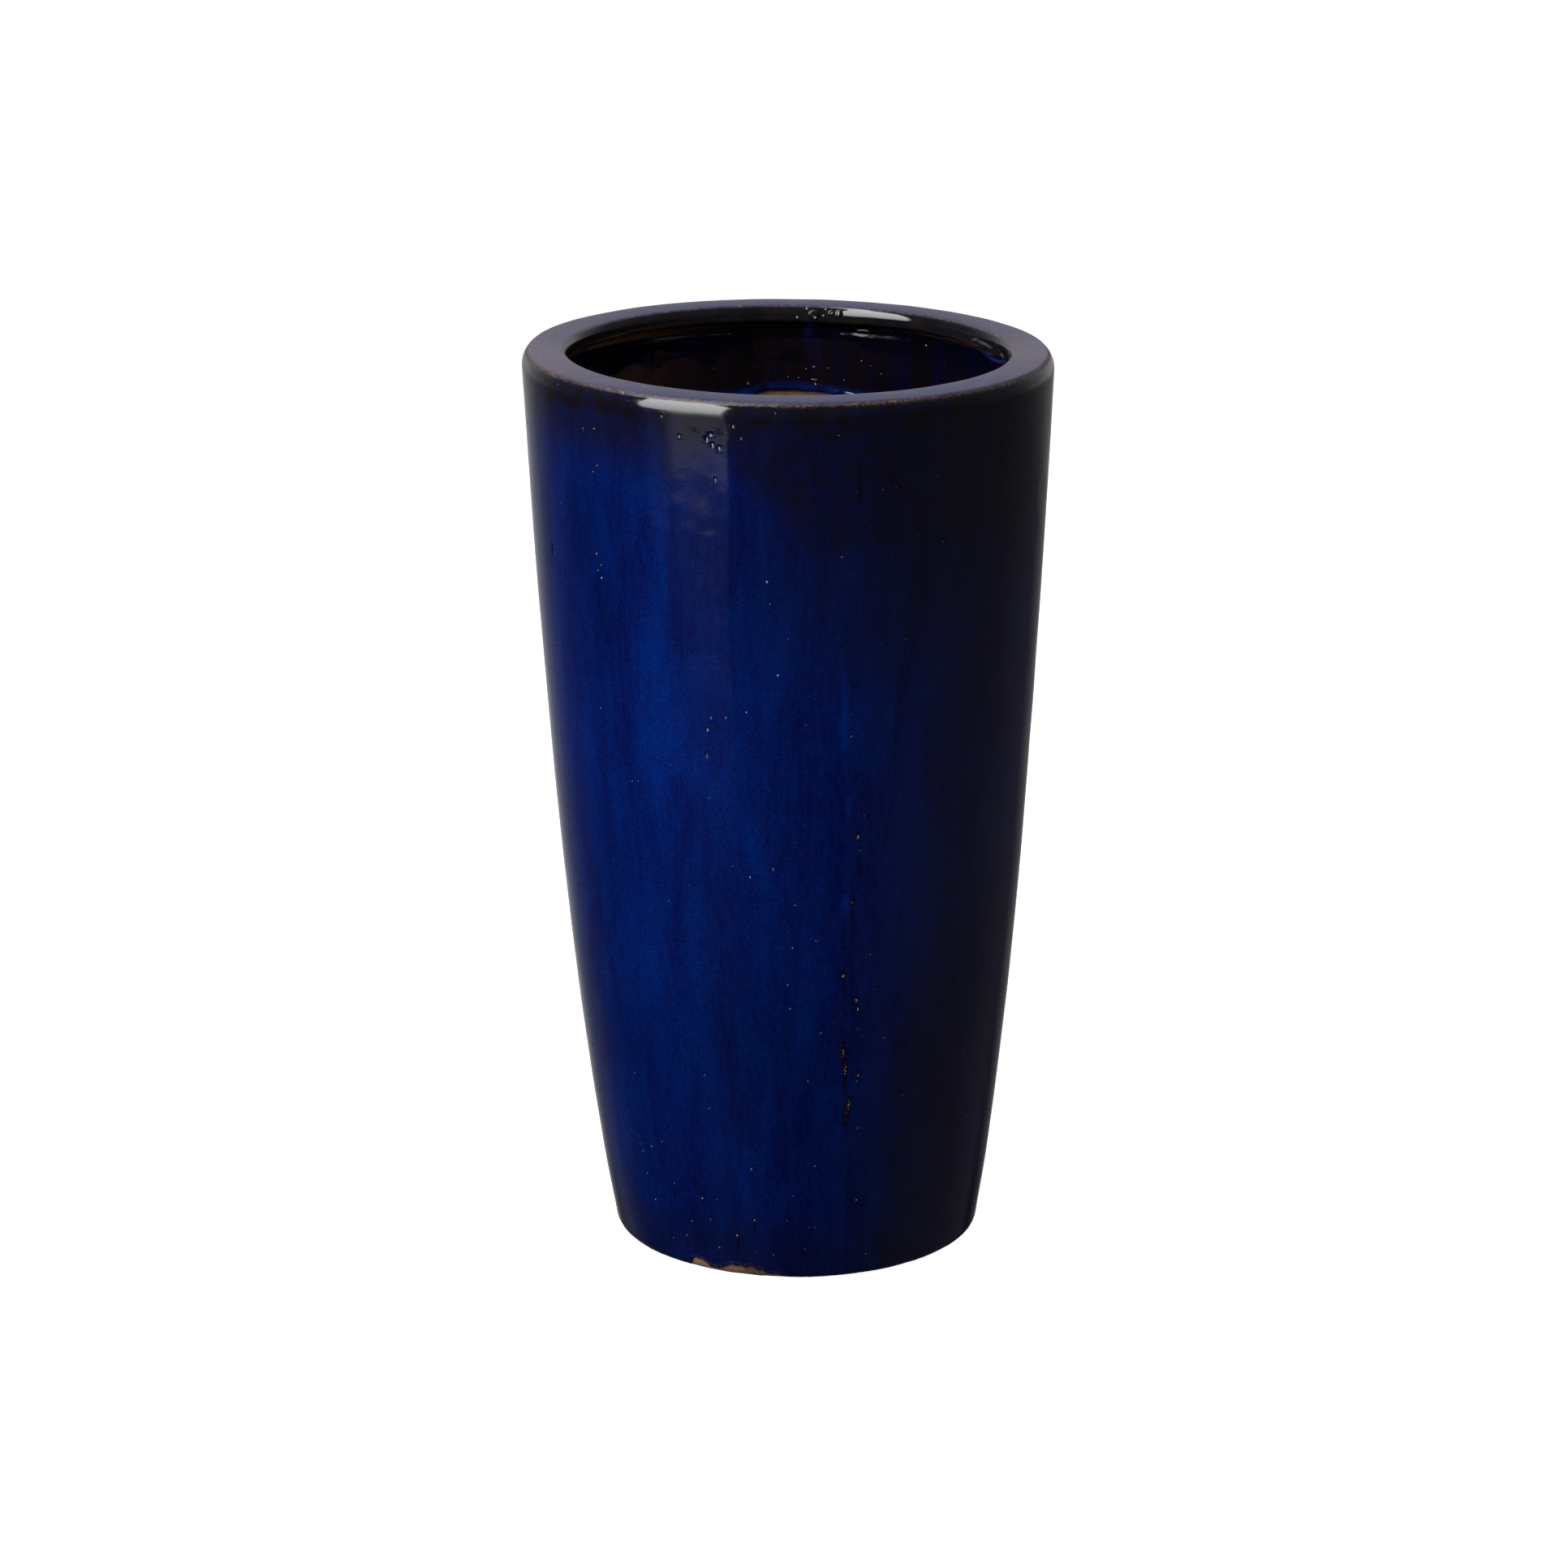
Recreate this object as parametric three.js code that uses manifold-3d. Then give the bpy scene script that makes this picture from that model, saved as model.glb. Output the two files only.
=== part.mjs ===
// A tall round planter of fired terracotta with a coat of glaze.
//
// It is put together from wet clay members. Two pressed wall halves meet in two upright seams, a
// coil of clay is worked over each seam inside, a floor slab is let into the foot over a corner
// coil, and a lip ring closes the top. A glaze coat runs up the outside, over the lip and a little
// way down the inside. Millimetres, +Z up, origin on the ground at the centre of the foot.

import * as THREE from "three";
import { mergeVertices } from "three/addons/utils/BufferGeometryUtils.js";
import Module from "manifold-3d";

// Overall sizes, over the glaze.
const HEIGHT = 711;
const FOOT_RADIUS = 144.5;
const RIM_RADIUS = 204.7; // where the wall's line meets the height of the rim
const BELLY = 25.7; // how far the wall swells out from a straight cone

// Wall and foot.
const WALL = 23; // through the clay and the glaze on both its faces
const FOOT_ROUND = 6; // rounding of the bare clay edge at the ground

// Lip.
const LIP_WIDTH = 34; // from the wall's outer line in to the mouth
const LIP_FACE = 14; // height of the upright face round the mouth
const LIP_UNDERCUT = 6; // height over which the lip runs back to the wall below that face
const LIP_RING_HEIGHT = 28; // height of the ring that carries the lip
const SHOULDER_WIDTH = 8; // outer edge rounding, measured across
const SHOULDER_DROP = 12; // outer edge rounding, measured down
const MOUTH_ROUND = 3.6; // rounding of the edge round the mouth

// Floor.
const FLOOR_THICKNESS = 22;
const FLOOR_RAISE = 5; // the floor's underside above the ground
const DRAIN_RADIUS = 16;

// Coils worked into the joints.
const CORNER_COIL = 16; // height and width of the coil between the floor and the wall
const SEAM_COIL_WIDTH = 30;
const SEAM_COIL_DEPTH = 7; // how far a seam coil stands in from the wall

// Glaze.
const GLAZE = 1.2;
const GLAZE_FOOT = 8; // lower edge of the coat, above the ground
const GLAZE_REACH = 64; // how far the coat runs down inside, below the rim
const COIL_BELOW_GLAZE = 6; // a seam coil stops this far under the coat inside

// Clearances.
const JOINT = 0.3; // between a piece and what it is joined to

// Fineness of the round shapes.
const SIDES = 48;
const WALL_STEPS = 12;
const ARC_STEPS = 4;
const COIL_SIDES = 12;
const COIL_STEPS = 12;

// Heights and radii that follow.
const SKIN = GLAZE + JOINT; // from the finished surface to the clay
const SHOULDER_HEIGHT = HEIGHT - SHOULDER_DROP;
const MOUTH_RADIUS = RIM_RADIUS - LIP_WIDTH;
const LIP_BACK = HEIGHT - LIP_FACE - LIP_UNDERCUT;
const LIP_SEAT = HEIGHT - LIP_RING_HEIGHT;
const GLAZE_END = HEIGHT - GLAZE_REACH;
const FLOOR_TOP = FLOOR_RAISE + FLOOR_THICKNESS;
const FAR = 2 * (HEIGHT + RIM_RADIUS); // longer than anything here, for cutting boxes

const wasm = await Module();
wasm.setup();

// ---------------------------------------------------------------- outlines

// Outside of the wall at a height: a straight cone plus a swelling that dies away upwards.
function outerRadius(z) {
  const t = z / HEIGHT;
  const cone = RIM_RADIUS - FOOT_RADIUS - BELLY;
  return FOOT_RADIUS + cone * t + BELLY * (1 - (1 - t) ** 3);
}

// Inside of the wall at a height, over its glaze.
function innerRadius(z) {
  return outerRadius(z) - WALL;
}

// The clay face inside the wall at a height.
function innerClayRadius(z) {
  return innerRadius(z) + SKIN;
}

// Heights from one level to another, with the wall's own steps between them.
function wallHeights(from, to) {
  const step = HEIGHT / WALL_STEPS;
  const between = [];
  for (let i = 1; i < WALL_STEPS; i += 1) {
    const z = i * step;
    if (z > Math.min(from, to) + 1 && z < Math.max(from, to) - 1) {
      between.push(z);
    }
  }
  if (from > to) {
    between.reverse();
  }
  return [from, ...between, to];
}

// Points of a quarter of an ellipse, both ends included.
function quarterArc(centreX, centreY, halfWidth, halfHeight, fromAngle, steps = ARC_STEPS) {
  const points = [];
  for (let i = 0; i <= steps; i += 1) {
    const angle = fromAngle + (i / steps) * (Math.PI / 2);
    const x = centreX + halfWidth * Math.cos(angle);
    const y = centreY + halfHeight * Math.sin(angle);
    points.push(new THREE.Vector2(x, y));
  }
  return points;
}

// The finished surface in section, from a height outside, over the lip, to a height inside.
function finishedOutline(outsideFrom, insideTo) {
  const outside = wallHeights(outsideFrom, SHOULDER_HEIGHT).slice(0, -1);
  const inside = wallHeights(LIP_BACK, insideTo);
  const shoulderX = outerRadius(SHOULDER_HEIGHT) - SHOULDER_WIDTH;
  const mouthX = MOUTH_RADIUS + MOUTH_ROUND;
  const mouthY = HEIGHT - MOUTH_ROUND;
  return [
    ...outside.map((z) => new THREE.Vector2(outerRadius(z), z)),
    ...quarterArc(shoulderX, SHOULDER_HEIGHT, SHOULDER_WIDTH, SHOULDER_DROP, 0),
    ...quarterArc(mouthX, mouthY, MOUTH_ROUND, MOUTH_ROUND, Math.PI / 2),
    new THREE.Vector2(MOUTH_RADIUS, HEIGHT - LIP_FACE),
    ...inside.map((z) => new THREE.Vector2(innerRadius(z), z)),
  ];
}

// The unit normal of a step of an outline, pointing out of the clay.
function stepNormal(from, to) {
  const along = to.clone().sub(from).normalize();
  return new THREE.Vector2(along.y, -along.x);
}

// An outline moved into the clay by a depth. Its two ends keep their heights.
function inset(outline, depth) {
  const last = outline.length - 1;
  return outline.map((point, i) => {
    const before = stepNormal(outline[Math.max(i - 1, 0)], outline[Math.max(i, 1)]);
    if (i === 0 || i === last) {
      return new THREE.Vector2(point.x - depth / before.x, point.y);
    }
    const after = stepNormal(point, outline[i + 1]);
    const mitre = before.clone().add(after);
    mitre.multiplyScalar(depth / (1 + before.dot(after)));
    return point.clone().sub(mitre);
  });
}

// ---------------------------------------------------------------- solids

// A closed section turned about the Z axis.
function turned(section) {
  const geometry = new THREE.LatheGeometry([...section, section[0]], SIDES);
  return geometry.rotateX(Math.PI / 2);
}

// A geometry as a solid that can be cut and joined.
function toSolid(geometry) {
  const bare = geometry.clone();
  bare.deleteAttribute("normal");
  bare.deleteAttribute("uv");
  const merged = mergeVertices(bare, 1e-3);
  return new wasm.Manifold(
    new wasm.Mesh({
      numProp: 3,
      vertProperties: merged.attributes.position.array,
      triVerts: new Uint32Array(merged.index.array),
    }),
  );
}

// A solid as a geometry again.
function toGeometry(solid) {
  const mesh = solid.getMesh();
  const geometry = new THREE.BufferGeometry();
  const positions = new Float32Array(mesh.vertProperties);
  geometry.setAttribute("position", new THREE.BufferAttribute(positions, 3));
  geometry.setIndex(new THREE.BufferAttribute(new Uint32Array(mesh.triVerts), 1));
  geometry.computeVertexNormals();
  return geometry;
}

// A box between two corners.
function boxBetween(low, high) {
  const geometry = new THREE.BoxGeometry(high[0] - low[0], high[1] - low[1], high[2] - low[2]);
  geometry.translate((low[0] + high[0]) / 2, (low[1] + high[1]) / 2, (low[2] + high[2]) / 2);
  return toSolid(geometry);
}

// The whole clay wall and lip in one, before it is parted into its members.
function clayShell() {
  const face = inset(finishedOutline(FOOT_ROUND, 0), SKIN);
  const footX = face[0].x - FOOT_ROUND;
  const foot = quarterArc(footX, FOOT_ROUND, FOOT_ROUND, FOOT_ROUND, -Math.PI / 2).slice(0, -1);
  return toSolid(turned([...foot, ...face]));
}

// The wall on one side of the seams: side is -1 for the left and 1 for the right.
function wallHalf(shell, side) {
  const near = (side * JOINT) / 2;
  const far = side * FAR;
  const low = [Math.min(near, far), -FAR, -FAR];
  const high = [Math.max(near, far), FAR, LIP_SEAT - JOINT];
  return toGeometry(shell.intersect(boxBetween(low, high)));
}

// The ring on top of the two halves, with the lip's overhang round the mouth.
function lipRing(shell) {
  return toGeometry(shell.intersect(boxBetween([-FAR, -FAR, LIP_SEAT], [FAR, FAR, FAR])));
}

// The floor, with its drain hole.
function floorSlab() {
  const edge = (z) => innerClayRadius(z) - JOINT;
  return turned([
    new THREE.Vector2(DRAIN_RADIUS, FLOOR_RAISE),
    new THREE.Vector2(edge(FLOOR_RAISE), FLOOR_RAISE),
    new THREE.Vector2(edge(FLOOR_TOP), FLOOR_TOP),
    new THREE.Vector2(DRAIN_RADIUS, FLOOR_TOP),
  ]);
}

const CORNER_BASE = FLOOR_TOP + JOINT;
const CORNER_TOP = CORNER_BASE + CORNER_COIL;

// The coil worked into the corner between the floor and the wall.
function cornerCoil() {
  const baseX = innerClayRadius(CORNER_BASE) - JOINT;
  const topX = innerClayRadius(CORNER_TOP) - JOINT;
  const round = quarterArc(baseX, CORNER_BASE, CORNER_COIL, CORNER_COIL, Math.PI / 2);
  return turned([
    new THREE.Vector2(baseX, CORNER_BASE),
    new THREE.Vector2(topX, CORNER_TOP),
    ...round,
  ]);
}

// The room inside the clay wall, drawn back from it by the joint's clearance.
function wallRoom() {
  const heights = wallHeights(0, LIP_BACK);
  const side = heights.map((z) => new THREE.Vector2(innerClayRadius(z) - JOINT, z));
  const section = [new THREE.Vector2(0, 0), ...side, new THREE.Vector2(0, LIP_BACK)];
  const geometry = new THREE.LatheGeometry(section, SIDES);
  return toSolid(geometry.rotateX(Math.PI / 2));
}

// A coil pressed over a seam inside: an oval rope up the wall, less the half that would be in it.
// Side is -1 at the front and 1 at the back.
function seamCoil(room, side) {
  const low = CORNER_TOP + JOINT;
  const high = GLAZE_END - COIL_BELOW_GLAZE;
  const points = wallHeights(low, high).map(
    (z) => new THREE.Vector3(0, side * (innerClayRadius(z) - JOINT), z),
  );
  const oval = new THREE.Shape();
  oval.absellipse(0, 0, SEAM_COIL_WIDTH / 2, SEAM_COIL_DEPTH, 0, 2 * Math.PI, false, 0);
  const geometry = new THREE.ExtrudeGeometry(oval, {
    extrudePath: new THREE.CatmullRomCurve3(points),
    steps: COIL_STEPS,
    curveSegments: COIL_SIDES,
    bevelEnabled: false,
  });
  return toGeometry(toSolid(geometry).intersect(room));
}

// The glaze coat over the outside, the lip and the top of the inside.
function glazeCoat() {
  const face = finishedOutline(GLAZE_FOOT, GLAZE_END);
  return turned([...face, ...inset(face, GLAZE).reverse()]);
}

// ---------------------------------------------------------------- the planter

const clay = { color: 0x6a4b35, roughness: 0.9, metalness: 0 };
const glaze = { color: 0x10183a, roughness: 0.12, metalness: 0 };

const planter = new THREE.Group();
planter.name = "planter";

function addPiece(name, geometry, finish) {
  const piece = new THREE.Mesh(geometry, new THREE.MeshStandardMaterial(finish));
  piece.name = name;
  planter.add(piece);
}

const shell = clayShell();
const room = wallRoom();

addPiece("wall_half_left", wallHalf(shell, -1), clay);
addPiece("wall_half_right", wallHalf(shell, 1), clay);
addPiece("lip_ring", lipRing(shell), clay);
addPiece("floor_slab", floorSlab(), clay);
addPiece("floor_joint_coil", cornerCoil(), clay);
addPiece("seam_coil_front", seamCoil(room, -1), clay);
addPiece("seam_coil_back", seamCoil(room, 1), clay);
addPiece("glaze_coat", glazeCoat(), glaze);

export default planter;
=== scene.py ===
"""A tall round planter pot of fired clay under a deep blue glaze, in a plain pale studio.

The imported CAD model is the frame. Every CAD node is replaced by a fine mesh of the same piece.
Shapes are worked out in millimetres and turned into metres when a mesh is made. Azimuths are in
degrees: 0 is the front seam, towards -Y, and positive turns towards +X.
"""

import math

import bpy
import numpy as np
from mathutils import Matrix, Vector


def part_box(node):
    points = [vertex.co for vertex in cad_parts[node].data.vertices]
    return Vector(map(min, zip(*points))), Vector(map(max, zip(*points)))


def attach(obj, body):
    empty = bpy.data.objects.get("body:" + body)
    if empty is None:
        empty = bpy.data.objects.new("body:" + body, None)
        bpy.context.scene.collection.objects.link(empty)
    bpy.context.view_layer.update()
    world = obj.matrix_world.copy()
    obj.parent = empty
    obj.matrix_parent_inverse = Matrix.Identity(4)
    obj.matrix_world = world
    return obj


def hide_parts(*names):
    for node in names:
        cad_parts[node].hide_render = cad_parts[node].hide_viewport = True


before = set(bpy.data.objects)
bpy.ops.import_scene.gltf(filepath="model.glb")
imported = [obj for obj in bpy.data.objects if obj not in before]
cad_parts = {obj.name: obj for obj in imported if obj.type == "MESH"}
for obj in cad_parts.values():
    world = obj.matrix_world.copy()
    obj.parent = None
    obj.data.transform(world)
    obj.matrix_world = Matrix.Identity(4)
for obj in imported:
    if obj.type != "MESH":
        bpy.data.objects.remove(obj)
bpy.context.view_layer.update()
MM = 0.001

# ---- sizes, in millimetres

_, COAT_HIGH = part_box("glaze_coat")
FLOOR_LOW, FLOOR_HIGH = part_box("floor_slab")
SEAM_LOW, SEAM_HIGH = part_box("seam_coil_front")
CORNER_LOW, CORNER_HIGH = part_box("floor_joint_coil")
RING_LOW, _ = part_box("lip_ring")

HEIGHT = COAT_HIGH.z / MM
LIP_SEAT = RING_LOW.z / MM
FLOOR_UNDER = FLOOR_LOW.z / MM
FLOOR_TOP = FLOOR_HIGH.z / MM
SEAM_BASE = SEAM_LOW.z / MM
SEAM_TOP = SEAM_HIGH.z / MM
CORNER_BASE = CORNER_LOW.z / MM
CORNER_TOP = CORNER_HIGH.z / MM
GLAZE_INSIDE_END = 641.0

FOOT_RADIUS = 144.5
RIM_RADIUS = 204.7
BELLY = 25.7
WALL = 23.0
MOUTH_RADIUS = 170.7
GLAZE = 1.2
JOINT = 0.3
SKIN = GLAZE + JOINT
FOOT_ROUND = 6.0
DRAIN_RADIUS = 16.0
SEAM_WIDTH = 30.0
SEAM_DEPTH = 7.0
CORNER_SIZE = CORNER_TOP - CORNER_BASE

# ---- the camera's place

CAMERA_AZIMUTH = -14.5
CAMERA_DISTANCE = 3592.0
CAMERA_HEIGHT = 1440.8
CAMERA_PITCH = 16.73
CAMERA_ASIDE = -10.13
CAMERA_LENS = 109.2

_turn = math.radians(CAMERA_AZIMUTH)
RIGHT = np.array([math.cos(_turn), math.sin(_turn), 0.0])
FORWARD = np.array([-math.sin(_turn), math.cos(_turn), 0.0])


# ---- noise and easing


def lattice_value(i, j, k, seed):
    """A fixed pseudo-random number from -1 to 1 for each whole lattice point."""
    n = i * 374761393 + j * 668265263 + k * 1274126177 + seed * 2246822519
    n = n & 0xFFFFFFFF
    n = ((n ^ (n >> 13)) * 1274126177) & 0xFFFFFFFF
    n = ((n ^ (n >> 16)) * 2654435761) & 0xFFFFFFFF
    return ((n >> 12) & 0xFFFF) / 32767.5 - 1.0


def noise(x, y, z, seed):
    """Smooth noise from -1 to 1 with cells of size 1."""
    x, y, z = np.broadcast_arrays(x, y, z)
    xi = np.floor(x).astype(np.int64)
    yi = np.floor(y).astype(np.int64)
    zi = np.floor(z).astype(np.int64)
    fx, fy, fz = x - xi, y - yi, z - zi
    fx, fy, fz = (f * f * f * (f * (f * 6 - 15) + 10) for f in (fx, fy, fz))
    total = 0.0
    for dx in (0, 1):
        wx = fx if dx else 1 - fx
        for dy in (0, 1):
            wy = fy if dy else 1 - fy
            for dz in (0, 1):
                wz = fz if dz else 1 - fz
                total = total + wx * wy * wz * lattice_value(xi + dx, yi + dy, zi + dz, seed)
    return total


def layered(x, y, z, seed, layers=3, fall=0.5):
    """Several layers of noise, each half the size of the last."""
    total, weight, scale, whole = 0.0, 1.0, 1.0, 0.0
    for layer in range(layers):
        total = total + weight * noise(x * scale, y * scale, z * scale, seed + 17 * layer)
        whole += weight
        weight *= fall
        scale *= 2.03
    return total / whole


def waves(place, wide, tall, seed, layers=1, fall=0.5):
    """Noise at points in millimetres, with cells so wide and so tall."""
    x, y, z = place
    return layered(x / wide, y / wide, z / tall, seed, layers, fall)


def ring_waves(azimuth, per_radius, seed, layers=1, fall=0.5, level=0.0):
    """Noise that closes on itself round the pot."""
    a = np.radians(azimuth)
    return layered(np.cos(a) * per_radius, np.sin(a) * per_radius, level, seed, layers, fall)


def ease(t):
    """0 below 0, 1 above 1, smooth between."""
    t = np.clip(t, 0.0, 1.0)
    return t * t * (3 - 2 * t)


def bell(t):
    """1 at 0, fading to about 0 at 2."""
    return np.exp(-(t * t))


def turn_between(azimuth, centre):
    """The signed turn from centre to azimuth, from -180 to 180."""
    return (azimuth - centre + 180.0) % 360.0 - 180.0


# ---- the pot's outline


def outer_radius(z):
    t = np.asarray(z) / HEIGHT
    cone = RIM_RADIUS - FOOT_RADIUS - BELLY
    return FOOT_RADIUS + cone * t + BELLY * (1 - (1 - t) ** 3)


def inner_radius(z):
    return outer_radius(z) - WALL


def arc(centre, radius, start, end, steps):
    """Points of an arc. Angles are those of its outward normal: 0 is outwards, 90 is up."""
    angles = np.radians(np.linspace(start, end, steps + 1))
    return np.column_stack([centre[0] + radius * np.cos(angles), centre[1] + radius * np.sin(angles)])


def next_arc(points, radius, start, end, steps):
    """An arc that goes on smoothly from the last point."""
    angle = math.radians(start)
    centre = points[-1] - radius * np.array([math.cos(angle), math.sin(angle)])
    return np.vstack([points, arc(centre, radius, start, end, steps)[1:]])


class Curve:
    """A smooth line through points, followed by its length."""

    def __init__(self, points, closed=False, soften=0.6, step=0.2):
        points = np.asarray(points, float)
        if closed:
            points = np.vstack([points, points[:1]])
        lengths = np.hypot(*np.diff(points, axis=0).T)
        keep = np.concatenate([[True], lengths > 1e-9])
        points = points[keep]
        s = np.concatenate([[0.0], np.cumsum(np.hypot(*np.diff(points, axis=0).T))])
        count = max(int(s[-1] / step), 8)
        self.s = np.linspace(0, s[-1], count + 1)
        r = np.interp(self.s, s, points[:, 0])
        z = np.interp(self.s, s, points[:, 1])
        self.length = s[-1]
        width = max(int(3 * soften / step), 1)
        kernel = bell(np.arange(-width, width + 1) * step / (soften * math.sqrt(2)))
        kernel /= kernel.sum()
        self.r = self._soft(r, kernel, width, closed)
        self.z = self._soft(z, kernel, width, closed)
        self.closed = closed
        dr, dz = np.gradient(self.r), np.gradient(self.z)
        size = np.maximum(np.hypot(dr, dz), 1e-9)
        self.nr, self.nz = dz / size, -dr / size
        if closed:
            area = 0.5 * np.sum(self.r[:-1] * self.z[1:] - self.r[1:] * self.z[:-1])
            if area < 0:
                self.nr, self.nz = -self.nr, -self.nz

    @staticmethod
    def _soft(values, kernel, width, closed):
        if closed:
            body = values[:-1]
            padded = np.concatenate([body[-width:], body, body[: width + 1]])
            return np.convolve(padded, kernel, "valid")
        low = 2 * values[0] - values[width:0:-1]
        high = 2 * values[-1] - values[-2 : -width - 2 : -1]
        return np.convolve(np.concatenate([low, values, high]), kernel, "valid")

    def at(self, s):
        if self.closed:
            s = np.mod(s, self.length)
        return tuple(np.interp(s, self.s, v) for v in (self.r, self.z, self.nr, self.nz))


def finished_outline():
    """The finished surface from under the foot, up the outside, over the lip and down inside."""
    foot_centre = (float(outer_radius(FOOT_ROUND + SKIN)) - FOOT_ROUND - SKIN, FOOT_ROUND + SKIN)
    points = arc(foot_centre, FOOT_ROUND + SKIN, -85, -8, 14)
    wall_start, wall_end = FOOT_ROUND + SKIN + 1.5, 697.8
    heights = np.linspace(wall_start, wall_end, 200)
    points = np.vstack([points, np.column_stack([outer_radius(heights), heights])])
    points = next_arc(points, 16.0, -3, 46, 40)
    points = next_arc(points, 1.6, 46, 86, 10)
    crown_out = points[-1][0]
    crown_in = MOUTH_RADIUS + 2.6
    crown = (crown_out - crown_in) / (2 * math.sin(math.radians(4)))
    points = next_arc(points, crown, 86, 94, 30)
    points[:, 1] += np.where(points[:, 1] > 600, HEIGHT - points[:, 1].max(), 0)
    points = next_arc(points, 2.0, 94, 130, 10)
    points = next_arc(points, 10.0, 130, 170, 20)
    ledge = [(-0.1, 699.4), (0.5, 697.9), (2.2, 697.2), (5.2, 696.6)]
    ledge += [(8.2, 695.4), (10.6, 693.6), (11.8, 691.6), (12.4, 689.0)]
    face = points[-1][0]
    points = np.vstack([points, [(face + r, z) for r, z in ledge]])
    heights = np.linspace(684.0, 560.0, 80)
    return np.vstack([points, np.column_stack([inner_radius(heights), heights])])


OUTLINE = Curve(finished_outline(), soften=0.5)
_top = int(np.argmax(OUTLINE.z))
S_TOP = float(OUTLINE.s[_top])


def outside_s(z):
    """Length along the outline where the outside reaches a height."""
    return np.interp(z, OUTLINE.z[:_top], OUTLINE.s[:_top])


def inside_s(z):
    """Length along the outline where the inside comes down to a height."""
    return np.interp(-np.asarray(z, float), -OUTLINE.z[_top:], OUTLINE.s[_top:])


S_FOOT = float(outside_s(1.9))
S_SHOULDER = float(outside_s(694.0))
S_CORNER = float(outside_s(709.7))
S_FACE = float(inside_s(709.4))
S_LEDGE = float(inside_s(697.6))
S_INSIDE = float(inside_s(689.0))
S_END = float(inside_s(GLAZE_INSIDE_END))


# ---- how the real pot is out of true


# How far the rim leans to the camera's left, the bow in that lean, and the rim's drop at its right.
LEAN, LEAN_BOW = 7.05, 0.77
RIM_TILT, RIM_REACH = 1.46, 204.0


def out_of_true(x, y, z):
    """Lean, tilted rim, slight oval and slow waves. Every piece is moved by the same rule."""
    t = np.clip(z / HEIGHT, 0, 1.01)
    radius = np.maximum(np.hypot(x, y), 1e-6)
    azimuth = np.arctan2(x, -y)
    oval = 0.3 * t * np.cos(2 * (azimuth - 0.9))
    slow = 0.3 * waves((x, y, z), 95, 130, 3) + 0.75 * ease(1.05 - t)
    slow = (slow + 0.5 * bell((t - 0.86) / 0.13)) * ease(z / 60)
    out = (oval + slow) * ease((radius - 40) / 80) / radius
    x, y = x * (1 + out), y * (1 + out)
    lean = -(LEAN * t + LEAN_BOW * 4 * t * (1 - t))
    across = x * RIGHT[0] + y * RIGHT[1]
    z = z - RIM_TILT * (across / RIM_REACH) * t**4
    return x + lean * RIGHT[0], y + lean * RIGHT[1], z


# ---- meshes on a lattice


def balanced(levels, wrap_u):
    """Raises cells until no cell is more than one level below a neighbour."""
    levels = levels.copy()
    for level in range(int(levels.max()), 1, -1):
        near = levels >= level
        grown = near.copy()
        for axis, wrap in ((0, True), (1, wrap_u)):
            part = grown.copy()
            for shift in (-1, 1):
                moved = np.roll(grown, shift, axis=axis)
                if not wrap:
                    moved[:, 0 if shift == 1 else -1] = False
                part |= moved
            grown = part
        levels[grown & (levels < level - 1)] = level - 1
    return levels


# A cell's corners and edge middles in turn, in half cells. Edge middles serve finer neighbours.
ROUND_A_CELL = ((0, 0), (1, 0), (2, 0), (2, 1), (2, 2), (1, 2), (0, 2), (0, 1))


def lattice(levels, wrap_u):
    """Cells of a grid, some cut finer, as one sheet with no gaps.

    levels[v, u] is how often each cell is halved both ways. The sheet closes on itself along v,
    and along u with wrap_u, or else it has two flat ends. Returns the places u and v of the
    vertices in cells, the corner list and where each face starts in it.
    """
    levels = balanced(levels, wrap_u)
    rows, columns = levels.shape
    top = int(levels.max())
    size = 1 << top
    wide, high = columns * size, rows * size
    stride = wide + 1

    def beside(dv, du):
        moved = np.roll(levels, (-dv, -du), axis=(0, 1))
        if du and not wrap_u:
            moved[:, -1 if du > 0 else 0] = -1
        return moved

    below, right, above, left = beside(-1, 0), beside(0, 1), beside(1, 0), beside(0, -1)
    faces = []
    for level in range(top + 1):
        v_cell, u_cell = np.nonzero(levels == level)
        if not len(v_cell):
            continue
        parts = 1 << level
        width = size >> level
        a, b = np.meshgrid(np.arange(parts), np.arange(parts))
        a, b = a.ravel()[None, :], b.ravel()[None, :]
        u0 = u_cell[:, None] * size + a * width
        v0 = v_cell[:, None] * size + b * width

        def finer(side, at_edge):
            return (side[v_cell, u_cell] > level)[:, None] & at_edge

        split = {1: finer(below, b == 0), 3: finer(right, a == parts - 1)}
        split.update({5: finer(above, b == parts - 1), 7: finer(left, a == 0)})
        keys = []
        for spot, (du, dv) in enumerate(ROUND_A_CELL):
            u, v = u0 + du * width // 2, v0 + dv * width // 2
            key = (v % high) * stride + (u % wide if wrap_u else u)
            if spot in split:
                key = np.where(split[spot], key, -1)
            keys.append(np.broadcast_to(key, (len(v_cell), parts * parts)).ravel())
        faces.append(np.stack(keys, axis=1))
    faces = np.vstack(faces)
    used = faces >= 0
    counts = used.sum(axis=1)
    keys, corners = np.unique(faces[used], return_inverse=True)
    starts = np.concatenate([[0], np.cumsum(counts)[:-1]])
    u, v = (keys % stride) / size, (keys // stride) / size
    if not wrap_u:
        for edge, order in ((0, -1), (wide, 1)):
            ring = np.nonzero(keys % stride == edge)[0]
            ring = ring[np.argsort(keys[ring] // stride)][::order]
            starts = np.append(starts, len(corners))
            corners = np.concatenate([corners, ring])
    return u, v, corners, starts


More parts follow.
